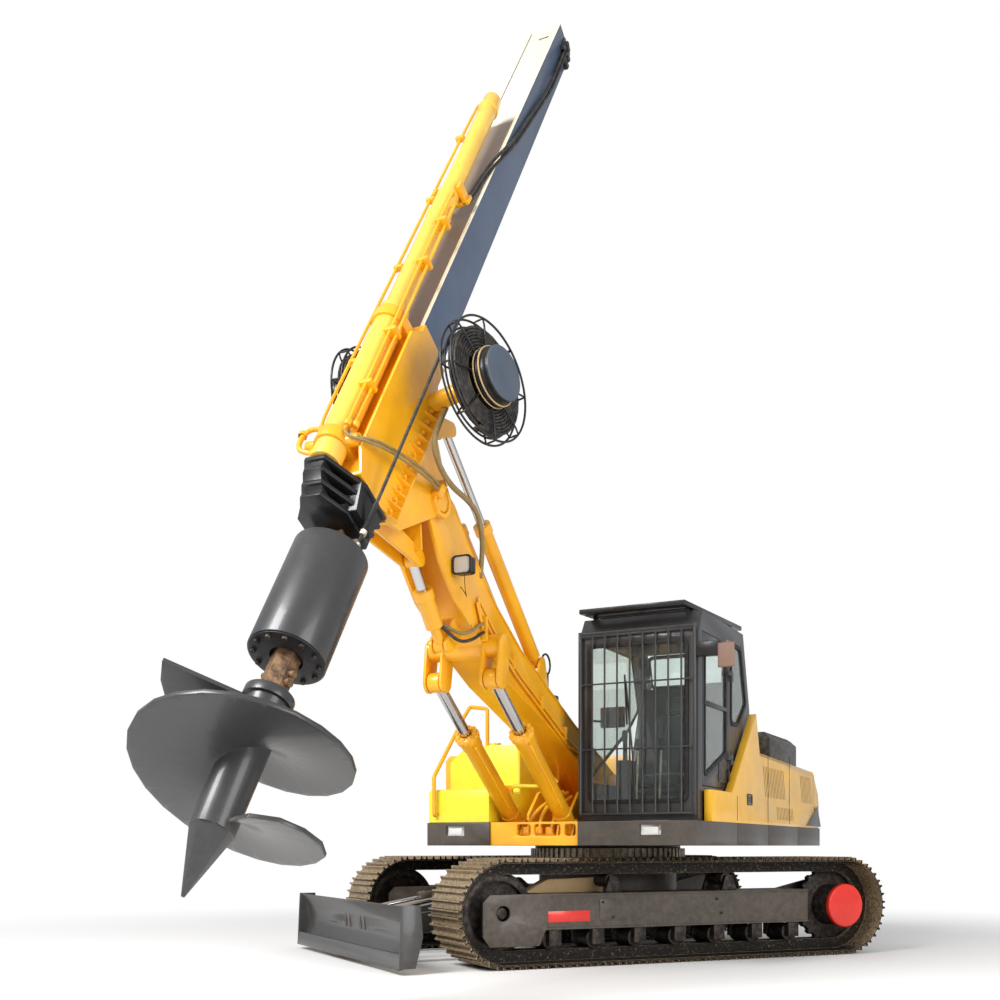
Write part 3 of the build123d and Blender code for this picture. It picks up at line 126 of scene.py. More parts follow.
def add(tree, kind, links=None, **settings):
    """One node of any kind: settings are its own values, links are input name to value or output socket."""
    made = tree.nodes.new("ShaderNode" + kind)
    for name, value in settings.items():
        setattr(made, name, value)
    for name, source in (links or {}).items():
        if isinstance(source, bpy.types.NodeSocket):
            tree.links.new(source, made.inputs[name])
        else:
            made.inputs[name].default_value = source
    return made


def new_material(name):
    """An empty material with its output: returns the material, its tree and the output node."""
    made = bpy.data.materials.new(name)
    made.use_nodes = True
    made.node_tree.nodes.clear()
    return made, made.node_tree, add(made.node_tree, "OutputMaterial")


print("sRGB #808080 is", round(linear("#808080")[0], 3), "in linear light")


# %% [markdown]
# The floor is a pale studio sweep. Close to the machine it is matt paint that takes the shadow. Further
# out it fades to plain white for the camera, so no horizon line shows, while the light that reaches the
# machine stays that of a plain room.

# %% Floor, world and lamps
FLOOR_RADIUS = 60.0
FADE_START = 4.0
FADE_END = 9.5


def studio_floor():
    """A disc of a few rings, with a material that goes from matt paint to white with the distance."""
    turns, rings = np.meshgrid(np.linspace(0, 2 * pi, 65)[:-1], np.array([0.0, 5.0, 12.0, FLOOR_RADIUS]))
    points = np.stack([rings * np.cos(turns), rings * np.sin(turns), np.zeros_like(rings)], -1).reshape(-1, 3)
    count = 64
    faces = [(r * count + i, (r + 1) * count + i, (r + 1) * count + (i + 1) % count, r * count + (i + 1) % count)
             for r in range(3) for i in range(count)]
    mesh = bpy.data.meshes.new("studio_floor")
    mesh.from_pydata(points, [], faces)
    floor = bpy.data.objects.new("studio_floor", mesh)
    bpy.context.scene.collection.objects.link(floor)
    material, tree, output = new_material("matt floor paint")
    place = add(tree, "TexCoord").outputs["Object"]
    away = add(tree, "VectorMath", {0: place}, operation="LENGTH").outputs["Value"]
    fade = add(tree, "MapRange", {"Value": away, "From Min": FADE_START, "From Max": FADE_END},
               interpolation_type="SMOOTHSTEP").outputs["Result"]
    paths = add(tree, "LightPath").outputs
    seen = add(tree, "Math", {0: paths["Is Camera Ray"], 1: paths["Is Glossy Ray"]}, operation="MAXIMUM")
    seen = add(tree, "Math", {0: seen.outputs[0], 1: paths["Is Transmission Ray"]}, operation="MAXIMUM")
    share = add(tree, "Math", {0: fade, 1: seen.outputs[0]}, operation="MULTIPLY").outputs[0]
    paint = add(tree, "BsdfDiffuse", {"Color": linear("#F2F1EF")}).outputs[0]
    white = add(tree, "Emission", {"Color": (1, 1, 1, 1), "Strength": 1.0}).outputs[0]
    mixed = add(tree, "MixShader", {0: share, 1: paint, 2: white}).outputs[0]
    tree.links.new(mixed, output.inputs["Surface"])
    mesh.materials.append(material)


def studio_world(strength):
    """Even soft light from all round, which the camera and mirrors see as plain white."""
    world = bpy.data.worlds.new("soft_room")
    bpy.context.scene.world = world
    world.use_nodes = True
    tree = world.node_tree
    tree.nodes.clear()
    paths = add(tree, "LightPath").outputs
    room = add(tree, "Background", {"Color": linear("#F4F6FA"), "Strength": strength}).outputs[0]
    white = add(tree, "Background", {"Color": (1, 1, 1, 1), "Strength": 1.0}).outputs[0]
    seen = add(tree, "Math", {0: paths["Is Camera Ray"], 1: paths["Is Transmission Ray"]}, operation="MAXIMUM")
    mixed = add(tree, "MixShader", {0: seen.outputs[0], 1: room, 2: white}).outputs[0]
    tree.links.new(mixed, add(tree, "OutputWorld").inputs["Surface"])


def softbox(name, place, aim, size, watts):
    """A square area lamp at a place, turned to face a point."""
    lamp = bpy.data.lights.new(name, "AREA")
    lamp.size = size
    lamp.energy = watts
    holder = bpy.data.objects.new(name, lamp)
    bpy.context.scene.collection.objects.link(holder)
    holder.location = place
    away = np.array(place, float) - np.array(aim, float)
    holder.rotation_euler = (atan2(np.hypot(away[0], away[1]), away[2]), 0.0, atan2(away[1], away[0]) + pi / 2)


studio_floor()
studio_world(0.62)
softbox("key_softbox", (13.0, -3.5, 10.5), (2.5, 0.0, 2.0), 5.0, 2100)
softbox("fill_softbox", (7.0, 11.0, 5.0), (0.5, 0.5, 1.6), 6.0, 650)
print("area lamps:", len(bpy.data.lights))

# %% [markdown]
# Most of the machine is steel under two coats of sprayed enamel. Such paint has a slight orange peel in
# its gloss, runs a little darker and lighter from panel to panel, and collects pale dust low down and on
# level faces. On edges it is thin and chipped, so primer and rust show there. The Bevel node finds the
# edges: where the normal of a rounded copy of the surface leaves the true normal, an edge is near.

# %% Painted steel
DUST = "#B9A486"
PANEL_SIZE, DUST_PATCH, CHIP_FLECK, PEEL_SIZE = 0.4, 0.06, 0.025, 0.009
EDGE_REACH = 0.006


def painted_steel(name, colour, roughness=0.36, dust=0.25, chip="#6B3B1E", chipped=0.35, coat=0.35,
                  tint=None):
    """Sprayed enamel: base colour with slow variation, dust by height and slope, chips on the edges."""
    material, tree, output = new_material(name)
    place = add(tree, "TexCoord").outputs["Object"]
    normal = add(tree, "NewGeometry").outputs["Normal"]
    # Slow variation, about 400 mm across, as between panels sprayed at different times
    slow = add(tree, "TexNoise", {
        "Vector": place, "Scale": 1 / PANEL_SIZE, "Detail": 3.0, "Roughness": 0.6}).outputs["Fac"]
    base = linear(colour)
    deep = tuple(v * 0.82 for v in base[:3]) + (1.0,)
    lifted = tuple(min(1.0, v * 1.08) for v in base[:3]) + (1.0,)
    tone = add(tree, "ValToRGB", {"Fac": slow})
    tone.color_ramp.elements[0].position, tone.color_ramp.elements[0].color = 0.3, deep
    tone.color_ramp.elements[1].position, tone.color_ramp.elements[1].color = 0.7, lifted
    tone = tint(tree, place, normal, tone.outputs["Color"]) if tint else tone.outputs["Color"]
    # Dust: pale, patchy in patches of about 60 mm, more of it low down and on faces that look up
    patch = add(tree, "TexNoise", {
        "Vector": place, "Scale": 1 / DUST_PATCH, "Detail": 6.0, "Roughness": 0.7}).outputs["Fac"]
    height = add(tree, "SeparateXYZ", {0: place}).outputs["Z"]
    low = add(tree, "MapRange", {
        "Value": height, "From Min": 1.6, "From Max": 0.0, "To Max": 0.75}).outputs["Result"]
    slope = add(tree, "SeparateXYZ", {0: normal}).outputs["Z"]
    level = add(tree, "MapRange", {
        "Value": slope, "From Min": 0.35, "From Max": 1.0, "To Max": 0.6}).outputs["Result"]
    both = add(tree, "Math", {0: low, 1: level}, operation="ADD", use_clamp=True).outputs[0]
    both = add(tree, "Math", {0: both, 1: 0.12}, operation="ADD").outputs[0]
    broken = add(tree, "MapRange", {"Value": patch, "From Min": 0.38, "From Max": 0.72}).outputs["Result"]
    cover = add(tree, "Math", {0: both, 1: broken}, operation="MULTIPLY").outputs[0]
    cover = add(tree, "Math", {0: cover, 1: dust}, operation="MULTIPLY", use_clamp=True).outputs[0]
    dusty = add(tree, "Mix", {"Factor": cover, "A": tone, "B": linear(DUST)}, data_type="RGBA")
    # Chips: within a few millimetres of an edge, in flecks of about 25 mm
    rounded = add(tree, "Bevel", {"Radius": EDGE_REACH}, samples=3).outputs["Normal"]
    along = add(tree, "VectorMath", {0: rounded, 1: normal}, operation="DOT_PRODUCT").outputs["Value"]
    near = add(tree, "MapRange", {"Value": along, "From Min": 0.995, "From Max": 0.86}).outputs["Result"]
    fleck = add(tree, "TexNoise", {
        "Vector": place, "Scale": 1 / CHIP_FLECK, "Detail": 5.0, "Roughness": 0.75}).outputs["Fac"]
    open_spot = add(tree, "MapRange", {
        "Value": fleck, "From Min": 0.62 - 0.2 * chipped, "From Max": 0.68}).outputs["Result"]
    bare = add(tree, "Math", {0: near, 1: open_spot}, operation="MULTIPLY", use_clamp=True).outputs[0]
    final = add(tree, "Mix", {"Factor": bare, "A": dusty.outputs["Result"], "B": linear(chip)}, data_type="RGBA")
    # Gloss: dust and chips are dull, clean enamel keeps the coat
    dull = add(tree, "Math", {0: cover, 1: bare}, operation="MAXIMUM").outputs[0]
    rough = add(tree, "MapRange", {"Value": dull, "To Min": roughness, "To Max": 0.85}).outputs["Result"]
    # Orange peel: ripples of about 3 mm in the paint, drawn at 9 mm so that they show
    peel = add(tree, "TexNoise", {"Vector": place, "Scale": 1 / PEEL_SIZE, "Detail": 2.0}).outputs["Fac"]
    bump = add(tree, "Bump", {"Height": peel, "Strength": 0.054, "Distance": 0.002, "Normal": rounded})
    shader = add(tree, "BsdfPrincipled", {
        "Base Color": final.outputs["Result"], "Roughness": rough,
        "Normal": bump.outputs["Normal"], "Coat Weight": coat, "Coat Roughness": 0.12})
    tree.links.new(shader.outputs[0], output.inputs["Surface"])
    return material


boom_enamel = painted_steel("boom enamel, orange yellow", "#FFB212", chip="#8A4A10", dust=0.06, coat=0.4)
body_enamel = painted_steel(
    "body enamel, warm yellow", "#FFBC14", dust=0.03, chip="#7A4A18", coat=0.45, roughness=0.32)
# Crowd cylinder paint, paler than the boom's yellow: partly its own yellow, partly a painted highlight of the key
# lamp on the cylinder.
ram_enamel_and_highlight = painted_steel("cylinder enamel, pale yellow", "#FFC648", dust=0.06, coat=0.45)
chassis_paint = painted_steel("chassis paint, taupe", "#4A423B", roughness=0.44, dust=0.2, coat=0.1, chip="#A08A6A")
cab_paint = painted_steel("cab paint, charcoal", "#343436", roughness=0.4, dust=0.15, coat=0.25, chip="#77706A")
black_paint = painted_steel("chassis black", "#0E0E10", roughness=0.38, dust=0.1, coat=0.2, chip="#5A534C")
red_enamel = painted_steel("signal red enamel", "#E52410", dust=0.04, coat=0.4)
drill_paint = painted_steel("tool paint, graphite", "#363637", roughness=0.38, dust=0.08, coat=0.25, chip="#A5683A",
                            chipped=0.8)
lemon_enamel = painted_steel("body enamel, lemon yellow", "#FFE62A", dust=0.08, coat=0.4, chip="#8A6A18")
sand_primer = painted_steel("primer paint, sand", "#D2AE7C", roughness=0.6, dust=0.2, coat=0.0)
hub_paint = painted_steel("reel hub paint, slate", "#4A5664", roughness=0.5, dust=0.1, coat=0.1)


def mast_front_paint_and_shadow(tree, place, normal, tone):
    """On faces that look forward of the mast: cream over the cylinder's end and pale on both rails, and taupe beside
    the cylinder, a painted shadow of the crowd cylinder on the pale front.
    """
    facing = add(tree, "VectorMath", {0: normal, 1: tuple(MAST_TURN[:, 0])},
                 operation="DOT_PRODUCT").outputs["Value"]
    facing = add(tree, "MapRange", {"Value": facing, "From Min": 0.55, "From Max": 0.7}).outputs["Result"]
    offset = add(tree, "VectorMath", {0: place, 1: tuple(AUGER_TIP)}, operation="SUBTRACT").outputs["Vector"]
    along = add(tree, "VectorMath", {0: offset, 1: tuple(MAST_TURN[:, 2])},
                operation="DOT_PRODUCT").outputs["Value"]
    # Painted shadow: taupe below the crowd cylinder's end, where the cylinder shades the mast's pale front; cream
    # above it is the front's own paint.
    high = add(tree, "MapRange", {"Value": along, "From Min": 6.86, "From Max": 6.9}).outputs["Result"]
    aside = add(tree, "Math", {0: add(tree, "SeparateXYZ", {0: place}).outputs["Y"]},
                operation="ABSOLUTE").outputs[0]
    rail = add(tree, "MapRange", {"Value": aside, "From Min": 0.112, "From Max": 0.116}).outputs["Result"]
    # Taupe is the painted shadow of the crowd cylinder; the rails lie outside it and keep a pale cream.
    front = add(tree, "Mix", {"Factor": high, "A": linear("#8C7A6B"), "B": linear("#EFE7D2")}, data_type="RGBA")
    front = add(tree, "Mix", {"Factor": rail, "A": front.outputs["Result"], "B": linear("#F4EBD0")},
                data_type="RGBA")
    mixed = add(tree, "Mix", {"Factor": facing, "A": tone, "B": front.outputs["Result"]}, data_type="RGBA")
    return mixed.outputs["Result"]


mast_blue = painted_steel("mast paint, steel blue", "#46566F", roughness=0.42, dust=0.1, coat=0.2,
                          tint=mast_front_paint_and_shadow)

# %% [markdown]
# Bare metal is the other half of the machine. The shoes are rolled manganese steel in dark and scoured tan patches,
# and a painted highlight makes their faces that look along the track paler, where the key lamp falls on them, while
# their sides keep the dark tone. The square bar and its stub are mill scale gone brown with dry mud, and the ram rods
# are hard chrome ground to a mirror.

# %% Bare metal


def scoured_steel(name, dark, pale, balance=0.5, roughness=0.55, metallic=0.55, patch=0.05, painted_highlight=0.0):
    """Two steel tones in patches of a given width with pits of 8 mm; faces along the tracks get a painted highlight,
    paler by the last argument.
    """
    material, tree, output = new_material(name)
    place = add(tree, "TexCoord").outputs["Object"]
    normal = add(tree, "NewGeometry").outputs["Normal"]
    wide = add(tree, "TexNoise", {
        "Vector": place, "Scale": 1 / patch, "Detail": 7.0, "Roughness": 0.72}).outputs["Fac"]
    pits = add(tree, "TexNoise", {"Vector": place, "Scale": 1 / 0.008, "Detail": 3.0}).outputs["Fac"]
    rounded = add(tree, "Bevel", {"Radius": 0.005}, samples=3).outputs["Normal"]
    along = add(tree, "VectorMath", {0: rounded, 1: normal}, operation="DOT_PRODUCT").outputs["Value"]
    near = add(tree, "MapRange", {
        "Value": along, "From Min": 0.998, "From Max": 0.9, "To Max": 0.35}).outputs["Result"]
    share = add(tree, "Math", {0: wide, 1: near}, operation="ADD").outputs[0]
    # Painted highlight: faces that look along the tracks, toward the key lamp, are made paler.
    if painted_highlight:
        facing = add(tree, "VectorMath", {0: normal, 1: tuple(ALONG_TRACKS)},
                     operation="DOT_PRODUCT").outputs["Value"]
        highlight_gain = add(tree, "MapRange", {
            "Value": facing, "From Min": 0.1, "From Max": 0.6, "To Max": painted_highlight}).outputs["Result"]
        share = add(tree, "Math", {0: share, 1: highlight_gain}, operation="ADD").outputs[0]
    tone = add(tree, "ValToRGB", {"Fac": share})
    tone.color_ramp.elements[0].position, tone.color_ramp.elements[0].color = balance - 0.12, linear(dark)
    tone.color_ramp.elements[1].position, tone.color_ramp.elements[1].color = balance + 0.14, linear(pale)
    bump = add(tree, "Bump", {"Height": pits, "Strength": 0.25, "Distance": 0.002, "Normal": rounded})
    shader = add(tree, "BsdfPrincipled", {
        "Base Color": tone.outputs["Color"], "Roughness": roughness, "Metallic": metallic,
        "Normal": bump.outputs["Normal"]})
    tree.links.new(shader.outputs[0], output.inputs["Surface"])
    return material


# The last number is the painted highlight on the shoes' faces that look along the tracks.
shoe_steel = scoured_steel(
    "manganese steel, scoured", "#1C1714", "#C9B08C", balance=0.68, roughness=0.5, patch=0.02, painted_highlight=0.24)
roller_steel = scoured_steel("forged steel, oily", "#262220", "#5C5148", balance=0.55, roughness=0.5)
scale_steel = scoured_steel("mill scale, dusted", "#4A3426", "#94724F", balance=0.5, roughness=0.62, metallic=0.3)
ring_steel = scoured_steel("ring gear steel, greased", "#7A6A58", "#D8C8B0", balance=0.45, roughness=0.4)
engine_iron = scoured_steel("cast iron, painted", "#23272A", "#4A4F52", roughness=0.6, metallic=0.2)


def hard_chrome():
    """Ground chrome: a mirror with faint marks round the rod."""
    material, tree, output = new_material("hard chrome")
    place = add(tree, "TexCoord").outputs["Object"]
    marks = add(tree, "TexNoise", {"Vector": place, "Scale": 1 / 0.004, "Detail": 2.0}).outputs["Fac"]
    rough = add(tree, "MapRange", {"Value": marks, "To Min": 0.08, "To Max": 0.22}).outputs["Result"]
    shader = add(tree, "BsdfPrincipled", {"Base Color": linear("#C9C6C4"), "Metallic": 1.0, "Roughness": rough})
    tree.links.new(shader.outputs[0], output.inputs["Surface"])
    return material


chrome = hard_chrome()
print("finishes so far:", len(bpy.data.materials))

# %% [markdown]
# Rubber, moulded plastic and woven cloth share one thing: their colour hardly varies, and it is the fine
# relief that tells them apart. Rubber is nearly black and dull with a dusting of grey. The plastic of the
# consoles has a pebbled grain of about a millimetre. The seat is a plain weave.

# %% Rubber, plastic and cloth


def soft_finish(name, colour, roughness, relief, scale_mm, sheen=0.0, kind="TexNoise", dust=0.2):
    """A dull dielectric with one fine pattern of a given size in millimetres in its relief."""
    material, tree, output = new_material(name)
    place = add(tree, "TexCoord").outputs["Object"]
    scale = 1000.0 / scale_mm
    height = add(tree, kind, {"Vector": place, "Scale": scale}).outputs[0]
    patch = add(tree, "TexNoise", {
        "Vector": place, "Scale": 1 / 0.05, "Detail": 5.0, "Roughness": 0.7}).outputs["Fac"]
    cover = add(tree, "MapRange", {
        "Value": patch, "From Min": 0.45, "From Max": 0.8, "To Max": dust}).outputs["Result"]
    tone = add(tree, "Mix", {"Factor": cover, "A": linear(colour), "B": linear(DUST)}, data_type="RGBA")
    bump = add(tree, "Bump", {"Height": height, "Strength": relief, "Distance": 0.0015})
    shader = add(tree, "BsdfPrincipled", {
        "Base Color": tone.outputs["Result"], "Roughness": roughness, "Normal": bump.outputs["Normal"],
        "Sheen Weight": sheen})
    tree.links.new(shader.outputs[0], output.inputs["Surface"])
    return material


hose_rubber = soft_finish("hose rubber", "#1B1A1A", 0.5, 0.25, 6.0)
console_plastic = soft_finish("moulded plastic, pebbled", "#202124", 0.55, 0.3, 4.0, dust=0.05)
seat_cloth = soft_finish(
    "seat cloth, plain weave", "#3A4148", 0.9, 0.5, 4.0, sheen=0.4, kind="TexVoronoi", dust=0.1)
cover_plastic = soft_finish("glass-filled plastic, dark", "#34312F", 0.45, 0.3, 7.0, dust=0.3)
sleeve = soft_finish("woven hose sleeve, tan", "#8F7A4C", 0.85, 0.6, 5.0, kind="TexVoronoi", dust=0.4)
seal_rubber = soft_finish("window seal rubber", "#101011", 0.6, 0.15, 3.0, dust=0.08)
zinc = scoured_steel("zinc plated fittings", "#77705F", "#BDB6A2", balance=0.45, roughness=0.35, metallic=0.8)
mirror_plastic = soft_finish("mirror shell, sand", "#86695A", 0.5, 0.2, 5.0, dust=0.1)

# %% [markdown]
# Glass is the one material here that light goes through. A pane is drawn as a thin plate. It is nearly
# clear, a little green, and it mirrors the room more at a slant, which the shader works out by itself.

# %% Glass


def clear_glass(name, tint, roughness, through):
    """Glass with faint streaks of dirt about 80 mm long in its gloss."""
    material, tree, output = new_material(name)
    place = add(tree, "TexCoord").outputs["Object"]
    streak = add(tree, "TexNoise", {"Vector": place, "Scale": 1 / 0.08, "Detail": 4.0}).outputs["Fac"]
    rough = add(tree, "MapRange", {
        "Value": streak, "From Min": 0.4, "To Min": roughness, "To Max": roughness + 0.05})
    shader = add(tree, "BsdfPrincipled", {"Base Color": linear(tint), "Roughness": rough.outputs["Result"],
                                          "Transmission Weight": through, "IOR": 1.45})
    tree.links.new(shader.outputs[0], output.inputs["Surface"])
    return material


pane_glass = clear_glass("window glass, faint green", "#E9F2EE", 0.0, 0.96)
lens_glass = clear_glass("lamp lens, ribbed white", "#F7F6F0", 0.12, 0.35)

# %% [markdown]
# The solids come in as loose triangles with hard edges. Real plate has small rounded corners, and its
# drums are smooth. A Weld modifier joins the triangles, a planar Decimate clears the needless ones, and a
# Bevel of a few millimetres gives each edge its line of light. The shading is smooth, split at sharp edges.

# %% Finish the solids
SMOOTH_ANGLE = radians(32.0)


def smooth_by_angle():
    """A node group that shades smooth, except on edges sharper than the limit."""
    group = bpy.data.node_groups.new("smooth_by_angle", "GeometryNodeTree")
    group.interface.new_socket("Geometry", in_out="INPUT", socket_type="NodeSocketGeometry")
    group.interface.new_socket("Geometry", in_out="OUTPUT", socket_type="NodeSocketGeometry")
    enter, leave = group.nodes.new("NodeGroupInput"), group.nodes.new("NodeGroupOutput")
    angle = group.nodes.new("GeometryNodeInputMeshEdgeAngle")
    limit = group.nodes.new("FunctionNodeCompare")
    limit.data_type, limit.operation = "FLOAT", "LESS_EQUAL"
    limit.inputs["B"].default_value = SMOOTH_ANGLE
    edges = group.nodes.new("GeometryNodeSetShadeSmooth")
    edges.domain = "EDGE"
    faces = group.nodes.new("GeometryNodeSetShadeSmooth")
    group.links.new(angle.outputs["Unsigned Angle"], limit.inputs["A"])
    group.links.new(enter.outputs[0], faces.inputs["Geometry"])
    group.links.new(faces.outputs[0], edges.inputs["Geometry"])
    group.links.new(limit.outputs[0], edges.inputs["Shade Smooth"])
    group.links.new(edges.outputs[0], leave.inputs[0])
    return group


shade_group = smooth_by_angle()


def weld_and_round(piece, width):
    """Joins the triangles, rounds the edges by a width in metres and shades them smooth."""
    weld = piece.modifiers.new("join_triangles", "WELD")
    weld.merge_threshold = 0.00002
    if width:
        flat = piece.modifiers.new("clear_flats", "DECIMATE")
        flat.decimate_type = "DISSOLVE"
        flat.angle_limit = radians(0.4)
        rounding = piece.modifiers.new("round_edges", "BEVEL")
        rounding.width = width
        rounding.segments = 2
        rounding.limit_method = "ANGLE"
        rounding.angle_limit = radians(40.0)
        rounding.use_clamp_overlap = True
        rounding.harden_normals = False
    shade = piece.modifiers.new("shade_smooth", "NODES")
    shade.node_group = shade_group


FINISHES = [
    (boom_enamel, 0.004, "boom boom_base guide lift_barrels rear_tilt_barrels front_tilt_barrel handrail"),
    (ram_enamel_and_highlight, 0.003, "crowd_barrel"),
    (body_enamel, 0.008, "counterweight house_left house_right hood bulkhead"),
    (lemon_enamel, 0.008, "tank toolbox"),
    (chassis_paint, 0.004, "deck track_frame_left track_frame_right carbody blade_barrels"),
    (shoe_steel, 0.0, "track_left track_right"),
    (roller_steel, 0.003, "rollers_left rollers_right idler_left idler_right sprocket_left sprocket_right"),
    (ring_steel, 0.0, "slew_ring"),
    (red_enamel, 0.003, "drive_cover_left drive_cover_right"),
    (drill_paint, 0.003, "blade power_head auger"),
    (chrome, 0.0, "blade_rods lift_rods rear_tilt_rods front_tilt_rod crowd_rod"),
    (scale_steel, 0.003, "kelly_bar drive_stub"),
    (mast_blue, 0.004, "mast"),
    (black_paint, 0.004, "mast_nose roof_guard"),
    (cab_paint, 0.006, "cab cab_door front_guard"),
    (cover_plastic, 0.01, "intake_cover"),
    (console_plastic, 0.006, "console"),
    (seat_cloth, 0.02, "seat"),
    (mirror_plastic, 0.008, "mirror"),
    (engine_iron, 0.006, "engine"),
    (black_paint, 0.002, "reel_left reel_right"),
    (hose_rubber, 0.002, "hose_coil_left hose_coil_right"),
    (lens_glass, 0.004, "skirt_lamps"),
    (black_paint, 0.004, "work_lamp"),
]


def dress(material, width, names):
    """Gives each named solid its one material and its rounded edges."""
    for name in names.split():
        mesh = nodes[name].data
        mesh.materials.clear()
        mesh.materials.append(material)
        weld_and_round(nodes[name], width)


for finish_row in FINISHES:
    dress(*finish_row)
print("dressed", sum(len(row[2].split()) for row in FINISHES), "solids in", len(FINISHES), "rows")

# %% [markdown]
# The rest of the machine is drawn here piece by piece. A handful of small tools is enough: one turns a
# profile about an axis, one lifts a flat outline into a plate, one copies a shape to many places, and one
# runs a round pipe along a smooth line. Each works on whole arrays of points at a time.

# %% Shaping tools
FORWARD, LEFT, UP = np.eye(3)


def unit(vector):
    """A vector of length one."""
    return np.asarray(vector, float) / np.linalg.norm(vector)


def square_to(axis):
    """Two unit vectors at right angles to an axis a and to each other: u = a x h and v = a x u."""
    axis = unit(axis)
    helper = UP if abs(axis[2]) < 0.9 else FORWARD
    first = unit(np.cross(axis, helper))
    return first, np.cross(axis, first)


def turned(profile, centre, axis, steps=32):
    """Surface of revolution: centre + h*a + r*(cos t u + sin t v), for each (r, h) and each angle t."""
    first, second = square_to(axis)
    radius, height = np.array(profile, float).T
    angle = np.arange(steps) * 2 * pi / steps
    ring = np.cos(angle)[:, None] * first + np.sin(angle)[:, None] * second
    points = height[:, None, None] * unit(axis) + radius[:, None, None] * ring
    row, column = np.meshgrid(np.arange(len(radius) - 1), np.arange(steps), indexing="ij")
    after = (column + 1) % steps
    quads = np.stack([row * steps + column, row * steps + after, (row + 1) * steps + after,
                      (row + 1) * steps + column], -1).reshape(-1, 4)
    return points.reshape(-1, 3) + np.asarray(centre, float), quads.tolist()


def plate(outline, origin, along, across, thickness):
    """A flat outline of points (a, b) as origin + a*along + b*across, lifted square to itself."""
    outline = np.array(outline, float)
    base = np.asarray(origin, float) + outline @ np.array([along, across], float)
    lifted = base + unit(np.cross(along, across)) * thickness
    count = len(outline)
    here = np.arange(count)
    after = (here + 1) % count
    sides = np.stack([here, after, after + count, here + count], -1).tolist()
    return np.vstack([base, lifted]), sides + [here[::-1].tolist(), (here + count).tolist()]


def block(low, high, turn=None):
    """A block between two corners, in a local frame that turn carries into the machine's."""
    low, high = np.asarray(low, float), np.asarray(high, float)
    points, faces = plate([(low[0], low[1]), (high[0], low[1]), (high[0], high[1]), (low[0], high[1])],
                          (0, 0, low[2]), FORWARD, LEFT, high[2] - low[2])
    return (turn(points) if turn else points), faces


def frame_shape(outer, inner, origin, along, across, thickness):
    """A flat frame between two outlines with as many points each, lifted square to itself."""
    count = len(outer)
    points, _ = plate(np.vstack([outer, inner]), origin, along, across, thickness)
    here = np.arange(count)
    after = (here + 1) % count
    low = np.stack([here, here + count, after + count, after], -1)
    top = low[:, ::-1] + 2 * count
    outside = np.stack([here, after, after + 2 * count, here + 2 * count], -1)
    inside = np.stack([here + count, here + 3 * count, after + 3 * count, after + count], -1)
    return points, np.vstack([low, top, outside, inside]).tolist()


def inset(outline, depth):
    """An outline moved inward: each corner goes by depth*(n1 + n2)/(1 + n1.n2), with n1, n2 its edges' normals."""
    outline = np.array(outline, float)
    edge = np.roll(outline, -1, 0) - outline
    edge /= np.linalg.norm(edge, axis=1, keepdims=True)
    area = np.sum(outline[:, 0] * np.roll(outline[:, 1], -1) - np.roll(outline[:, 0], -1) * outline[:, 1])
    normal = np.stack([-edge[:, 1], edge[:, 0]], -1) * np.sign(area)
    before = np.roll(normal, 1, 0)
    return outline + depth * (normal + before) / (1 + np.sum(normal * before, 1, keepdims=True))


def rounded(outline, radius, steps=5):
    """An outline with curved corners: (1-t)^2 a + 2t(1-t) p + t^2 b, where a and b lie radius from corner p."""
    outline = np.array(outline, float)
    back = np.roll(outline, 1, 0) - outline
    on = np.roll(outline, -1, 0) - outline
    start = outline + radius * back / np.linalg.norm(back, axis=1, keepdims=True)
    end = outline + radius * on / np.linalg.norm(on, axis=1, keepdims=True)
    t = np.linspace(0, 1, steps)[None, :, None]
    curve = (1 - t) ** 2 * start[:, None] + 2 * t * (1 - t) * outline[:, None] + t ** 2 * end[:, None]
    return curve.reshape(-1, 2)


def joined(shapes):
    """Several shapes as one: their points in a row, and their face numbers moved along to match."""
    starts = np.cumsum([0] + [len(points) for points, _ in shapes[:-1]])
    faces = [[index + int(start) for index in face] for (_, some), start in zip(shapes, starts) for face in some]
    return np.vstack([points for points, _ in shapes]), faces


def copies(shape, places):
    """One shape at many places: every point plus every place."""
    points, faces = shape
    return joined([(points + np.asarray(place, float), faces) for place in places])


def new_piece(name, data, material, body=None):
    """An object for a mesh or a curve, with its material, that rides on a body if one is given."""
    if not data.materials:
        data.materials.append(material)
    piece = bpy.data.objects.new(name, data)
    bpy.context.scene.collection.objects.link(piece)
    if body:
        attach(piece, body)
    return piece


def moved(shape, turn):
    """A shape carried from its local frame into the machine's by one of the two turning functions."""
    return turn(shape[0]), shape[1]


def make_piece(name, shape, material, body=None, rounding=0.0):
    """A mesh piece of one finish that rides on a body, with its edges rounded by a width in metres."""
    mesh = bpy.data.meshes.new(name)
    mesh.from_pydata(np.asarray(shape[0], float).tolist(), [], shape[1])
    shell = bmesh.new()
    shell.from_mesh(mesh)
    bmesh.ops.remove_doubles(shell, verts=shell.verts, dist=0.00001)
    bmesh.ops.recalc_face_normals(shell, faces=shell.faces)
    shell.to_mesh(mesh)
    shell.free()
    piece = new_piece(name, mesh, material, body)
    weld_and_round(piece, rounding)
    return piece


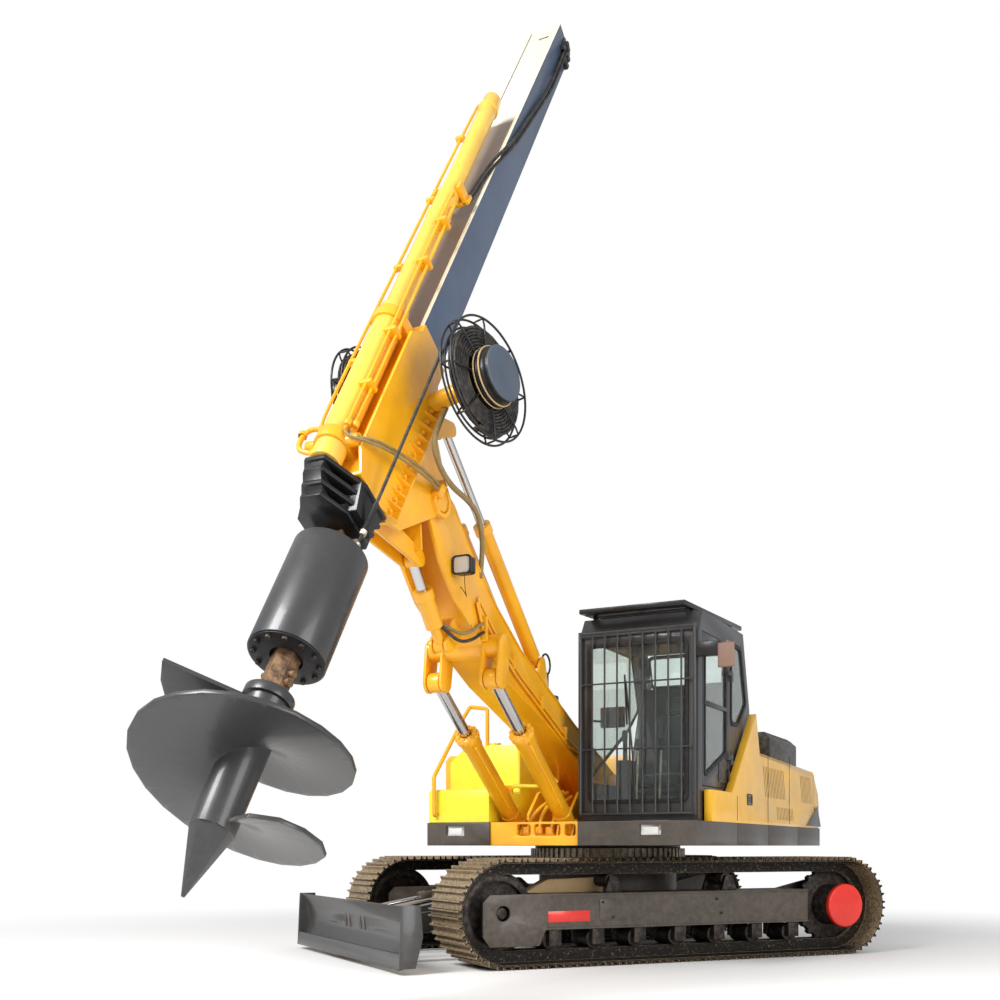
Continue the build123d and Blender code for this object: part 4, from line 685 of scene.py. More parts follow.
def pipes(name, runs, radius, material, body=None, rings=(), order=3, resolution=6, sides=2):
    """Round bars, pipes or hoses: a NURBS spline for each open run and each closed ring of points."""
    curve = bpy.data.curves.new(name, "CURVE")
    curve.dimensions = "3D"
    curve.bevel_depth = radius
    curve.bevel_resolution = sides
    curve.use_fill_caps = True
    curve.resolution_u = resolution
    for run, closed in [(run, False) for run in runs] + [(ring, True) for ring in rings]:
        run = np.asarray(run, float)
        spline = curve.splines.new("NURBS")
        spline.points.add(len(run) - 1)
        spline.points.foreach_set("co", np.hstack([run, np.ones((len(run), 1))]).ravel())
        spline.order_u = order
        spline.use_endpoint_u = not closed
        spline.use_cyclic_u = closed
    return new_piece(name, curve, material, body)


def bent(points, reach):
    """A run with two more points at each corner, reach before and after it, so that only the corners curve."""
    points = np.asarray(points, float)
    back = points[:-2] - points[1:-1]
    on = points[2:] - points[1:-1]
    before = points[1:-1] + reach * back / np.linalg.norm(back, axis=1, keepdims=True)
    after = points[1:-1] + reach * on / np.linalg.norm(on, axis=1, keepdims=True)
    middle = np.stack([before, points[1:-1], after], 1).reshape(-1, 3)
    return np.vstack([points[:1], middle, points[-1:]])


def crossing(name, run, radius, material):
    """A hose between two bodies: a round line turned into one mesh, which rides on neither body."""
    line = pipes(name + "_line", [run], radius, material, resolution=10)
    bpy.context.view_layer.update()
    mesh = bpy.data.meshes.new_from_object(line.evaluated_get(bpy.context.evaluated_depsgraph_get()))
    bpy.data.objects.remove(line)
    mesh.shade_smooth()
    piece = new_piece(name, mesh, material)
    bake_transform(piece)
    return piece


def hexagons(places, axis, across, height):
    """Hexagon bolt heads with a bevelled top, at many places, all along one axis."""
    radius = across / 2 / cos(pi / 6)
    profile = [(radius, -0.002), (radius, height * 0.8), (radius * 0.86, height), (0.0, height)]
    head = turned(profile, (0, 0, 0), axis, 6)
    return copies(head, places)


def ring_places(centre, axis, radius, count):
    """Places round a circle: centre + r*(cos t u + sin t v)."""
    first, second = square_to(axis)
    angle = np.arange(count) * 2 * pi / count
    return np.asarray(centre, float) + radius * (np.cos(angle)[:, None] * first + np.sin(angle)[:, None] * second)


# %% [markdown]
# The hose reels are wire cages round a drum. The hose winds on as a flat spiral, its radius falling by one
# hose width each turn, so a spiral in three layers gives the rings seen through the wires.

# %% Hose reels
REEL_SPOKES = 8
HOSE_WIDTH = 0.021
CAGE_FRONT, CAGE_BACK = -0.005, -0.085
RIM_POINTS = 24


def hose_reel(name, side, radius, across, along, turn):
    """A reel in its own axes (outward along the axle, forward, along the mast), turned into the mast's frame."""
    axes = np.array([[sin(turn), side * cos(turn), 0], [cos(turn), -side * sin(turn), 0], [0, 0, 1]])

    def place(points):
        """Reel points turned by the reel's axes and set beside the mast."""
        return by_mast(np.asarray(points, float) @ axes + (0, side * across, along))

    def circle(count, start=0.0):
        """Points (0, cos t, sin t) round the axle."""
        angle = np.arange(count) * 2 * pi / count + start
        return np.stack([np.zeros(count), np.cos(angle), np.sin(angle)], -1)

    outward = MAST_TURN @ axes[0]
    centre = place([(0, 0, 0)])[0]
    hub, rim = 0.44 * radius, radius - 0.006
    front, back = np.array([CAGE_FRONT, 0, 0]), np.array([CAGE_BACK, 0, 0])
    runs = [place([front + hub * ray, front + rim * ray, back + rim * ray, back + hub * ray])
            for ray in circle(REEL_SPOKES, 0.2)]
    cage = pipes(name + "_cage", runs, 0.0065, black_paint, name, order=2, resolution=4, sides=1)
    hoop = rim * circle(RIM_POINTS)
    pipes(name + "_hoops", [], 0.0075, black_paint, name, resolution=4,
          rings=[place(hoop + front), place(hoop + back), place(0.88 * hoop + back - [0.004, 0, 0])])
    make_piece(name + "_drum", turned([
        (0.0, -0.09), (hub, -0.09), (hub, 0.0), (hub + 0.012, 0.002), (hub + 0.012, 0.012), (hub - 0.004, 0.014),
        (hub - 0.004, 0.04), (hub + 0.008, 0.042), (hub + 0.008, 0.052), (hub - 0.006, 0.054), (hub - 0.006, 0.084),
        (hub, 0.086), (hub, 0.104), (hub - 0.008, 0.106), (0.0, 0.106)], centre, outward, 48), black_paint, name,
        0.001)
    make_piece(name + "_hub_rings", joined([
        turned([(hub, low), (hub + 0.014, low), (hub + 0.014, low + 0.009), (hub, low + 0.009)], centre, outward, 48)
        for low in (0.003, 0.0425)]), sand_primer, name, 0.001)
    make_piece(name + "_hub_face", turned(
        [(0.0, 0.1), (hub - 0.003, 0.1), (hub - 0.003, 0.11), (hub - 0.008, 0.113), (0.0, 0.113)],
        centre, outward, 48), hub_paint, name, 0.001)
    turns = (0.84 * radius - hub) / HOSE_WIDTH
    count = int(14 * turns)
    sweep = np.linspace(0, 2 * pi * turns, count)
    reach = hub + 0.012 + HOSE_WIDTH * sweep / (2 * pi)
    layers = [np.stack([np.full(count, depth), reach * np.cos(sweep), reach * np.sin(sweep)], -1)
              for depth in (-0.07, -0.049, -0.028)]
    coil = pipes(name + "_wound_hose", [place(layer) for layer in layers], HOSE_WIDTH / 2, hose_rubber, name,
                 resolution=2, sides=1)
    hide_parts(name.replace("reel", "hose_coil"))
    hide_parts(name)
    print(name, "winds", round(turns, 1), "turns in", len(layers), "layers")


hose_reel("reel_left", 1, 0.405, 0.665, 3.85, radians(11.4))
hose_reel("reel_right", -1, 0.300, 0.400, 3.98, 0.0)

# %% [markdown]
# One hose runs from the near reel down to the mast's nose, and two more climb the mast. Their ends belong to two
# bodies, so a plain ride on one of them would tear them off the other. Each is made as a mesh that rides on neither
# body.

# %% Hoses along the mast
reel_run = by_mast([(0.28, 0.52, 3.95), (0.328, 0.502, 3.783), (0.27, 0.445, 3.5), (0.10, 0.275, 2.72),
                    (0.055, 0.225, 2.50), (0.045, 0.205, 2.40), (0.05, 0.185, 2.36)])
crossing("nose_hose", reel_run, 0.0105, hose_rubber)
nose_end = by_mast([(0.093, 0.268, 2.69), (0.055, 0.225, 2.50)])
nose_way = nose_end[1] - nose_end[0]
nose_length = float(np.linalg.norm(nose_way))
print("sleeve at the nose:", round(nose_length, 3), "m")
make_piece("nose_hose_sleeve", turned([
    (0.013, 0.0), (0.018, 0.006), (0.018, nose_length - 0.02), (0.021, nose_length - 0.015),
    (0.021, nose_length + 0.02), (0.012, nose_length + 0.025)], nose_end[0], nose_way, 16), seal_rubber, "mast",
    0.001)
make_piece("nose_hose_fitting", joined([
    hexagons(by_mast([(0.055, 0.225, 2.50)]), nose_way, 0.042, 0.03),
    hexagons(by_mast([(0.047, 0.206, 2.41)]), nose_way, 0.036, 0.03),
    block((0.02, 0.16, 2.33), (0.075, 0.215, 2.42), by_mast)]), zinc, "mast", 0.002)

mast_line = [
    (0.03, 0.12, 8.30), (0.03, 0.168, 8.28), (0.025, 0.172, 8.08), (0.018, 0.172, 7.67), (0.075, 0.172, 7.22),
    (0.15, 0.172, 6.60), (0.205, 0.165, 6.36), (0.232, 0.13, 6.16), (0.236, 0.10, 5.98), (0.25, 0.095, 5.80),
    (0.27, 0.095, 5.66)]
for index, shift in enumerate(((0.0, 0.0, 0.0), (-0.03, 0.002, -0.015))):
    run = by_mast(np.array(mast_line) + shift)
    crossing("mast_hose_%d" % index, run, 0.0115, hose_rubber)
make_piece("mast_top_fittings", joined([
    hexagons(by_mast([(0.03, 0.15, 8.28), (0.0, 0.15, 8.265), (-0.045, 0.15, 8.20), (0.05, 0.15, 8.19)]),
             MAST_TURN @ LEFT, 0.046, 0.04),
    block((-0.09, 0.146, 8.12), (0.0, 0.18, 8.17), by_mast),
    block((-0.06, 0.146, 8.22), (0.07, 0.162, 8.33), by_mast)]), black_paint, "mast", 0.003)
make_piece("mast_slot", plate(rounded([(-0.045, -0.008), (0.045, -0.008), (0.045, 0.008), (-0.045, 0.008)], 0.007),
                              by_mast([(0.1615, 0.03, 8.2)])[0], MAST_TURN @ LEFT, MAST_TURN @ UP, 0.002),
           black_paint, "mast")

# %% [markdown]
# The crowd cylinder carries its own oil lines. Two thin pipes run down its near side, one down its far
# side, and short hoses in sleeves lead from the near pipes round the guide to the boom's head.

# %% Pipes of the crowd cylinder
near_pipes = [
    [(0.35, 0.05, 5.52), (0.40, 0.09, 5.52), (0.425, 0.10, 5.46), (0.425, 0.115, 4.2), (0.425, 0.115, 3.10),
     (0.415, 0.104, 3.0)],
    [(0.35, 0.06, 5.42), (0.37, 0.115, 5.42), (0.385, 0.13, 5.36), (0.385, 0.142, 4.2), (0.385, 0.138, 3.12),
     (0.38, 0.117, 3.02)]]
far_pipe = [
    (0.36, -0.04, 6.83), (0.37, -0.085, 6.83), (0.385, -0.095, 6.76), (0.40, -0.115, 4.3), (0.41, -0.115, 3.2),
    (0.40, -0.10, 3.05), (0.37, -0.08, 3.02)]
pipes("crowd_pipes", [by_mast(run) for run in (*near_pipes, far_pipe)], 0.0105, boom_enamel, "guide")
saddles = [block((0.35, 0.07, s), (0.44, 0.158, s + 0.035), by_mast) for s in (5.12, 4.66, 3.92, 3.40)]
saddles += [block((0.37, -0.13, s), (0.412, -0.06, s + 0.03), by_mast) for s in (6.3, 5.5, 4.7, 3.7)]
make_piece("pipe_saddles", joined(saddles), boom_enamel, "guide", 0.004)
elbow_run = [
    (0.36, -0.07, 3.10), (0.385, -0.14, 3.10), (0.40, -0.20, 3.08), (0.40, -0.225, 3.0), (0.395, -0.215, 2.92),
    (0.38, -0.16, 2.89), (0.36, -0.07, 2.88)]
pipes("far_elbow", [by_mast(elbow_run)], 0.017, boom_enamel, "guide")
make_piece("elbow_nuts", joined([
    hexagons(by_mast([(0.372, -0.10, 3.10), (0.367, -0.09, 2.885)]), MAST_TURN @ -LEFT, 0.056, 0.034),
    hexagons(by_mast([(0.40, -0.223, 3.03)]), MAST_TURN @ UP, 0.052, 0.03),
    hexagons(by_mast([(0.425, 0.118, 3.06), (0.386, 0.145, 3.08)]), MAST_TURN @ -UP, 0.04, 0.035)]),
    boom_enamel, "guide", 0.002)
make_piece("crowd_seams", joined([
    turned([(0.079, 0.0), (0.088, 0.004), (0.088, 0.05), (0.079, 0.054)], by_mast([(0.35, 0, 5.30)])[0],
           MAST_TURN @ UP, 40),
    turned([(0.067, 0.0), (0.078, 0.004), (0.078, 0.03), (0.067, 0.034)], by_mast([(0.35, 0, 6.72)])[0],
           MAST_TURN @ UP, 40)]), ram_enamel_and_highlight, "guide", 0.002)
make_piece("crowd_fork", joined([
    block((0.262, -0.11, 5.58), (0.29, 0.135, 5.66), by_mast),
    block((0.262, 0.085, 5.58), (0.40, 0.115, 5.66), by_mast),
    block((0.262, -0.11, 5.58), (0.40, -0.085, 5.66), by_mast)]), boom_enamel, "guide", 0.004)

# The two sleeved hoses, each a free cord from its pipe's end to a block on the guide's cheek
SLEEVED = [
    [(0.415, 0.104, 3.0), (0.415, 0.125, 2.955), (0.39, 0.20, 2.93), (0.32, 0.255, 2.96), (0.2, 0.285, 3.03),
     (0.05, 0.295, 3.11), (-0.1, 0.30, 3.19), (-0.25, 0.29, 3.27), (-0.36, 0.262, 3.335), (-0.43, 0.245, 3.38)],
    [(0.38, 0.117, 3.02), (0.38, 0.14, 2.98), (0.355, 0.21, 2.97), (0.29, 0.262, 3.01), (0.17, 0.288, 3.075),
     (0.03, 0.297, 3.155), (-0.12, 0.30, 3.235), (-0.27, 0.29, 3.315), (-0.37, 0.264, 3.375), (-0.43, 0.245, 3.425)]]


def line_length(piece):
    """Length of a curve piece's own line: the sum of the steps between its drawn points."""
    bare = piece.copy()
    bare.data = piece.data.copy()
    bare.data.bevel_depth = 0.0
    bpy.context.scene.collection.objects.link(bare)
    bpy.context.view_layer.update()
    mesh = bpy.data.meshes.new_from_object(bare.evaluated_get(bpy.context.evaluated_depsgraph_get()))
    points = np.array([tuple(v.co) for v in mesh.vertices])
    bpy.data.objects.remove(bare)
    return float(np.linalg.norm(np.diff(points, axis=0), axis=1).sum())


for index, run in enumerate(SLEEVED):
    hose = pipes("sleeved_hose_%d" % index, [by_mast(run)], 0.0095, sleeve, "guide")
    hose_length = round(line_length(hose), 3)
    print("sleeved hose", index, hose_length, "m")
make_piece("cheek_block", joined([
    block((-0.46, 0.19, 3.34), (-0.40, 0.268, 3.46), by_mast)]), boom_enamel, "guide", 0.006)

# %% [markdown]
# On the boom, steel oil pipes follow the upper edge of the near web and end in a bracket, where short
# hoses take over and lead on to the front ram. A lifting ring stands on top.

# %% Boom pipes and ring
BOOM_EDGE = np.array([(1.24, 2.02), (1.8, 2.27), (2.27, 2.48), (2.71, 2.75), (2.93, 2.93)])
PIPE_BEND = 0.05


def along_edge(depth, across):
    """The boom's upper edge moved square to itself into the web: (x, z) + depth*(0.46, -0.89)."""
    line = BOOM_EDGE + depth * np.array([0.46, -0.89])
    return np.stack([line[:, 0], np.full(len(line), across), line[:, 1]], -1)


pipe_runs = [bent(np.vstack([[(0.75, 0.18, 1.60 + 0.4 * d)], along_edge(d, 0.18), [end]]), 0.06)
             for d, end in ((0.20, (2.96, 0.18, 2.56)), (0.245, (2.93, 0.18, 2.50)))]
pipe_runs += [bent(along_edge(-0.02, y), PIPE_BEND) for y in (0.14, 0.10)]
print("boom pipes:", len(pipe_runs))
pipes("boom_pipes", pipe_runs, 0.0115, boom_enamel, "boom")
saddle_at = [(1.42, 1.905), (1.9, 2.11), (2.42, 2.36)]
make_piece("boom_saddles", joined(
    [block((x, 0.158, z - 0.05), (x + 0.035, 0.197, z + 0.06)) for x, z in saddle_at]
    + [block((x, 0.08, z), (x + 0.03, 0.158, z + 0.04)) for x, z in ((1.5, 2.13), (2.0, 2.352), (2.5, 2.612))]
    + [block((2.93, 0.158, 2.44), (2.955, 0.215, 2.62))]), boom_enamel, "boom", 0.004)
crossing(
    "front_ram_hose_0",
    [(2.95, 0.19, 2.565), (3.0, 0.19, 2.56), (3.09, 0.17, 2.49), (3.18, 0.12, 2.46), (3.27, 0.075, 2.50),
     (3.30, 0.05, 2.52)], 0.012, sleeve)
crossing(
    "front_ram_hose_1",
    [(2.95, 0.19, 2.505), (3.0, 0.195, 2.49), (3.10, 0.18, 2.43), (3.2, 0.13, 2.40), (3.29, 0.08, 2.46),
     (3.33, 0.05, 2.50)], 0.012, hose_rubber)
pipes("lifting_ring", [], 0.0085, black_paint, "boom", rings=[ring_places((1.70, 0.12, 2.45), LEFT, 0.085, 20)])
make_piece("ring_foot", joined([
    block((1.68, 0.10, 2.20), (1.72, 0.14, 2.385)), block((1.5, 0.06, 2.12), (1.58, 0.15, 2.215))]), black_paint,
    "boom", 0.008)

# %% [markdown]
# The work lamp is a rounded square housing with a lens set into its rim. Its cable hangs in a small loop and
# goes back into the boom, so it is a cord with a free length of its own.

# %% Work lamp
lamp_outline = rounded([(-0.072, -0.066), (0.072, -0.066), (0.072, 0.066), (-0.072, 0.066)], 0.03)
lamp_face = np.array([3.385, 0.24, 2.895])
lamp_body = make_piece("lamp_body", joined([
    plate(lamp_outline * 0.93, lamp_face - (0.085, 0, 0), LEFT, UP, 0.07),
    frame_shape(lamp_outline, lamp_outline * 0.84, lamp_face - (0.02, 0, 0), LEFT, UP, 0.026),
    block((3.32, 0.158, 2.88), (3.35, 0.20, 2.91))]), black_paint, "boom", 0.004)
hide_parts("work_lamp")
make_piece("lamp_lens", plate(lamp_outline * 0.85, lamp_face - (0.014, 0, 0), LEFT, UP, 0.012), lens_glass, "boom",
    0.004)
lamp_cable = [
    (3.33, 0.235, 2.832), (3.33, 0.236, 2.79), (3.325, 0.238, 2.73), (3.30, 0.235, 2.69), (3.27, 0.22, 2.70),
    (3.255, 0.195, 2.735), (3.25, 0.175, 2.76), (3.25, 0.162, 2.775)]
cable = pipes("lamp_cable", [lamp_cable], 0.0028, hose_rubber, "boom")
cable_length = round(line_length(cable), 3)
print("lamp cable", cable_length, "m")

# %% [markdown]
# Each lift cylinder is closed by a gland: a heavy ring with bolt heads all round. A thin pipe takes the oil
# from the gland down to the foot of the barrel, where a low collar goes round it.

# %% Glands and their pipes
LIFT_WAY = unit((2.88 - 1.48, 0.0, 2.18 - 1.13))
LIFT_OVER = np.cross(LIFT_WAY, LEFT)
COLLAR_REACH, GLAND_REACH = 0.16, 1.165
COLLAR_PROFILE = [(0.073, 0.0), (0.079, 0.004), (0.079, 0.04), (0.073, 0.044)]
GLAND_PROFILE = [(0.073, -0.12), (0.083, -0.118), (0.083, -0.045), (0.094, -0.04), (0.094, 0.0), (0.086, 0.006),
                 (0.086, 0.018), (0.05, 0.022)]
for side, name in ((1, "left"), (-1, "right")):
    foot = np.array([1.48, side * 0.232, 1.13])
    gland = foot + GLAND_REACH * LIFT_WAY
    ring = turned(GLAND_PROFILE, gland, LIFT_WAY, 36)
    heads = hexagons(ring_places(gland + 0.018 * LIFT_WAY, LIFT_WAY, 0.068, 8), LIFT_WAY, 0.024, 0.016)
    rim_heads = hexagons(ring_places(gland - 0.02 * LIFT_WAY, LIFT_WAY, 0.088, 12), LIFT_WAY, 0.02, 0.034)
    collar = turned(COLLAR_PROFILE, foot + COLLAR_REACH * LIFT_WAY, LIFT_WAY, 36)
    make_piece("lift_gland_" + name, joined([ring, heads, rim_heads, collar]), boom_enamel, "lift_barrels", 0.0015)
    out = 0.066 * LEFT - 0.066 * LIFT_OVER
    run = [gland + side_step * LIFT_WAY + reach * out for side_step, reach in
           ((-0.06, 0.8), (-0.06, 1.25), (-0.12, 1.3), (-0.74, 1.3), (-0.80, 1.25), (-0.80, 0.8))]
    pipes("lift_pipe_" + name, [bent(run, 0.02)], 0.0085, boom_enamel, "lift_barrels")
pipes("cross_pipe", [bent([(1.80, -0.15, 1.44), (1.80, -0.11, 1.464), (1.80, 0.12, 1.458), (1.80, 0.155, 1.43)],
    0.015)], 0.016, lemon_enamel, "lift_barrels")
make_piece("cross_pipe_ends", joined([
    block((1.785, -0.20, 1.40), (1.815, -0.13, 1.47)), block((1.785, 0.13, 1.40), (1.815, 0.20, 1.47))]),
    boom_enamel, "lift_barrels", 0.005)

# %% [markdown]
# In the bay between the lift cylinders, the oil comes up out of the deck through three swivels. Their hoses
# share the boom's paint, because the machine was sprayed with them in place.

# %% Hoses of the bay
bay_hoses = [[(1.60, -0.10, 1.05), (1.58, -0.10, 1.14), (1.50, -0.06, 1.26), (1.35, 0.0, 1.36), (1.15, 0.04, 1.44)],
             [(1.62, 0.02, 1.05), (1.60, 0.02, 1.16), (1.52, 0.03, 1.28), (1.36, 0.05, 1.37), (1.15, 0.08, 1.43)],
             [(1.58, 0.10, 1.05), (1.55, 0.11, 1.13), (1.46, 0.10, 1.24), (1.3, 0.09, 1.33), (1.12, 0.10, 1.40)]]
pipes("bay_hoses", bay_hoses, 0.017, boom_enamel, "upper")
make_piece("bay_swivels", joined([turned([
    (0.0, 0.0), (0.05, 0.0), (0.05, 0.03), (0.034, 0.04), (0.034, 0.09), (0.0, 0.095)], (x, y, 1.041), UP, 24)
    for x, y in ((1.60, -0.10), (1.62, 0.02), (1.58, 0.10))]), boom_enamel, "upper", 0.003)

# %% [markdown]
# The cab's windows are thin panes held in black rubber. One function draws both for any window: the pane
# fills the opening, and the seal is a flat frame over its edge, made by moving the outline out and in.

# %% Cab windows
PANE_CORNER, PANE_DEPTH = 0.055, 0.014


def window(name, outline, origin, along, across, body="upper"):
    """A pane and its seal. along x across points into the cab, and origin lies just outside the wall."""
    shape = rounded(outline, PANE_CORNER)
    inward = unit(np.cross(along, across))
    make_piece(name + "_pane", plate(inset(shape, 0.002), origin + PANE_DEPTH * inward, along, across, 0.005),
        pane_glass, body)
    make_piece(name + "_seal", frame_shape(
        inset(shape, -0.014), inset(shape, 0.02), np.asarray(origin, float), along, across, 0.012), seal_rubber,
        body, 0.003)


window(
    "door_glass", [(0.71, 1.75), (1.33, 1.53), (1.33, 2.60), (0.71, 2.60)], (0, 1.338, 0), FORWARD, UP, "cab_door")
window("quarter_glass", [(0.06, 2.23), (0.33, 2.02), (0.55, 2.02), (0.55, 2.70), (0.24, 2.70)], (0, 1.338, 0),
    FORWARD, UP)
window("right_glass", [(2.23, 0.06), (2.70, 0.24), (2.70, 1.33), (1.50, 1.33), (2.02, 0.33)], (0, 0.322, 0), UP,
    FORWARD)
window("windscreen", [(1.33, 0.42), (2.60, 0.42), (2.60, 1.24), (1.33, 1.24)], (1.508, 0, 0), UP, LEFT)
window(
    "rear_glass", [(0.44, 0.015), (1.22, 0.015), (1.22, 0.302), (0.44, 0.302)], (0.0, 0, 2.42), LEFT,
    (0.325, 0, 0.946))
make_piece("door_bar", block((0.69, 1.306, 2.10), (1.35, 1.34, 2.135)), black_paint, "cab_door", 0.004)
pipes("door_handle", [bent([(0.69, 1.325, 1.62), (0.69, 1.35, 1.60), (0.69, 1.35, 1.30), (0.69, 1.325, 1.28)], 0.02)],
    0.011, black_paint, "cab_door")
make_piece("door_lower_panel", plate(rounded([(0.70, 1.50), (0.93, 1.50), (0.93, 1.68), (0.70, 1.70)], 0.02),
    (0, 1.336, 0), FORWARD, UP, 0.006), cover_plastic, "cab_door", 0.002)
pipes("wiper", [bent([(1.525, 0.82, 1.36), (1.525, 0.80, 1.7), (1.522, 0.74, 2.3)], 0.05),
    [(1.518, 0.75, 1.95), (1.518, 0.73, 2.35)]], 0.008, black_paint, "upper")

# %% [markdown]
# The seat is seen through the glass. A cushion is two crowned faces that meet along a rim: with x and y from
# -1 to 1 its half height is h ((1-x^6)(1-y^6))^(1/3), its sides pull in between the corners, and sewn channels
# press narrow grooves into the top.

# %% Seat and controls
CUSHION_GRID = 65


def cushion(centre, along, across, size, channels=(), crown=0.25):
    """A crowned closed form: two grids over one rim, square to along x across, with its sewn channels."""
    t = np.linspace(-1, 1, CUSHION_GRID)
    spread = 0.45 * t + 0.55 * np.sin(np.pi * t / 2)
    x, y = np.meshgrid(spread, spread, indexing="ij")
    swell = ((1 - x ** 6) * (1 - y ** 6)).clip(0) ** (1 / 3) * (1 - crown * (x ** 2 + y ** 2) / 2)
    for place in channels:
        swell -= 0.1 * np.exp(-((y - place) / 0.03) ** 2) * (np.abs(swell) > 0.05)
    plan = np.stack([x * np.sqrt(1 - 0.16 * y ** 2) * (1 - 0.03 * (1 - y ** 2)),
                     y * np.sqrt(1 - 0.16 * x ** 2) * (1 - 0.03 * (1 - x ** 2))], -1)
    flat = np.asarray(centre, float) + (plan * np.array(size[:2]) / 2) @ np.array([along, across], float)
    up = unit(np.cross(along, across)) * size[2] / 2
    top, below = flat + swell[..., None] * up, flat - swell.clip(0)[..., None] * up
    index = np.arange(CUSHION_GRID ** 2).reshape(CUSHION_GRID, CUSHION_GRID)
    low = index + CUSHION_GRID ** 2
    low[[0, -1]], low[:, [0, -1]] = index[[0, -1]], index[:, [0, -1]]

    def quads(grid):
        """The four corners of each cell of a grid of point numbers."""
        return np.stack([grid[:-1, :-1], grid[1:, :-1], grid[1:, 1:], grid[:-1, 1:]], -1).reshape(-1, 4)

    faces = np.vstack([quads(index), quads(low)[:, ::-1]])
    used, faces = np.unique(faces, return_inverse=True)
    return np.vstack([top.reshape(-1, 3), below.reshape(-1, 3)])[used], faces.reshape(-1, 4).tolist()


BACK_WAY = unit((-0.11, 0, 0.74))
seat_parts = [("seat_base", ((0.67, 0.84, 1.535), FORWARD, LEFT, (0.50, 0.48, 0.13), (-0.55, 0.55))),
              ("seat_back", ((0.435, 0.84, 1.86), -BACK_WAY, LEFT, (0.56, 0.46, 0.12), (-0.55, 0.55))),
              ("seat_head", ((0.385, 0.84, 2.215), -BACK_WAY, LEFT, (0.15, 0.28, 0.09), ()))]
for name, values in seat_parts:
    pad = make_piece(name, cushion(*values), seat_cloth, "upper")
    pad.data.shade_smooth()
    if name == "seat_base":
        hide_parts("seat")
make_piece("seat_frame", joined([
    block((0.54, 0.68, 1.17), (0.80, 1.0, 1.38)), block((0.45, 0.62, 1.42), (0.88, 1.06, 1.465)),
    block((0.39, 0.80, 1.45), (0.415, 0.88, 2.2))]), cover_plastic, "upper", 0.01)
pipes("levers", [[(1.0, y, 1.70), (1.0, y, 1.78), (1.01, y, 1.86)] for y in (0.545, 1.155)]
      + [[(1.22, y, 1.18), (1.20, y, 1.5), (1.17, y, 1.78)] for y in (0.72, 0.92)], 0.011, zinc, "upper")
make_piece("grips", joined([
    turned([(0.0, 0.0), (0.022, 0.008), (0.026, 0.06), (0.02, 0.1), (0.0, 0.11)], place, UP, 20)
    for place in ((1.01, 0.545, 1.85), (1.01, 1.155, 1.85), (1.17, 0.72, 1.76), (1.17, 0.92, 1.76))]),
    console_plastic, "upper")
make_piece("monitor", block((1.30, 0.45, 1.95), (1.34, 0.66, 2.12)), cover_plastic, "upper", 0.01)
pipes("monitor_stand", [[(1.34, 0.5, 2.0), (1.40, 0.46, 2.0), (1.44, 0.43, 2.0)]], 0.01, black_paint, "upper")

# %% [markdown]
# Small hardware tells the eye how big a machine is. The house side has a recessed handle, narrow gaps between its
# doors, dark sheets of painted shade in the hollows of its louvres and a grey guard at its rear corner. The shade
# sheets stand just inside the skin. The others are plates a few millimetres proud of it, which costs far less than
# cutting it.

# %% House side
HOUSE_SKIN = 1.41
# How far inside the skin the sheets of painted shade stand, and how far the seams stand proud of it.
SHADE_SHEET_DEPTH, SEAM_LIFT = 0.0015, 0.0025
LOUVRE_LEAN = 0.09 / 0.275
LOUVRE_ROWS = [(-1.14, 14, 1.425, 1.70), (-2.39, 9, 1.425, 1.70), (-1.50, 12, 1.225, 1.345)]
make_piece("house_handle", frame_shape(
    rounded([(0.15, 1.33), (0.32, 1.33), (0.32, 1.43), (0.15, 1.43)], 0.02),
    rounded([(0.165, 1.345), (0.305, 1.345), (0.305, 1.415), (0.165, 1.415)], 0.012),
    (0, HOUSE_SKIN + 0.007, 0), FORWARD, UP, 0.008), black_paint, "upper", 0.002)
make_piece("house_slot", block((0.17, HOUSE_SKIN - 0.006, 1.35), (0.30, HOUSE_SKIN + SEAM_LIFT, 1.41)), black_paint,
           "upper")
slots = [(first + 0.06 * step, low, high, LOUVRE_LEAN * (high - low))
         for first, count, low, high in LOUVRE_ROWS for step in range(count)]
# Painted shade: a thin black sheet in each louvre's hollow, where shade falls.
for side, label in ((1, "left"), (-1, "right")):
    shade_sheets = [plate([(x, low), (x + 0.022, low), (x + 0.022 + lean, high), (x + lean, high)],
                     (0, side * (HOUSE_SKIN - SHADE_SHEET_DEPTH), 0), FORWARD, UP, 0.003 * side)
               for x, low, high, lean in slots]
    make_piece("baffles_" + label, joined(shade_sheets), black_paint, "upper")
seams = [
    block((x, HOUSE_SKIN - SHADE_SHEET_DEPTH, 1.19), (x + 0.005, HOUSE_SKIN + SEAM_LIFT, high))
    for x, high in ((0.64, 1.40), (-0.44, 1.90), (-1.32, 1.86))]
make_piece("house_seams", joined(seams), black_paint, "upper")
make_piece("corner_guard", plate(
    [(-2.85, 1.186), (-2.123, 1.19), (-2.66, 1.412)], (0, HOUSE_SKIN + 0.0045, 0), FORWARD, UP, 0.004),
    cab_paint, "upper", 0.001)
# Counts the sheets of painted shade in the louvres.
print("louvre baffles:", len(slots), "on each side")

# %% [markdown]
# Two driving lamps sit in the skirt. A black bezel that narrows downward frames each, and a bright reflector
# behind the lens gives the light back. The mirror's arm is black, so a short box covers its sand colour.

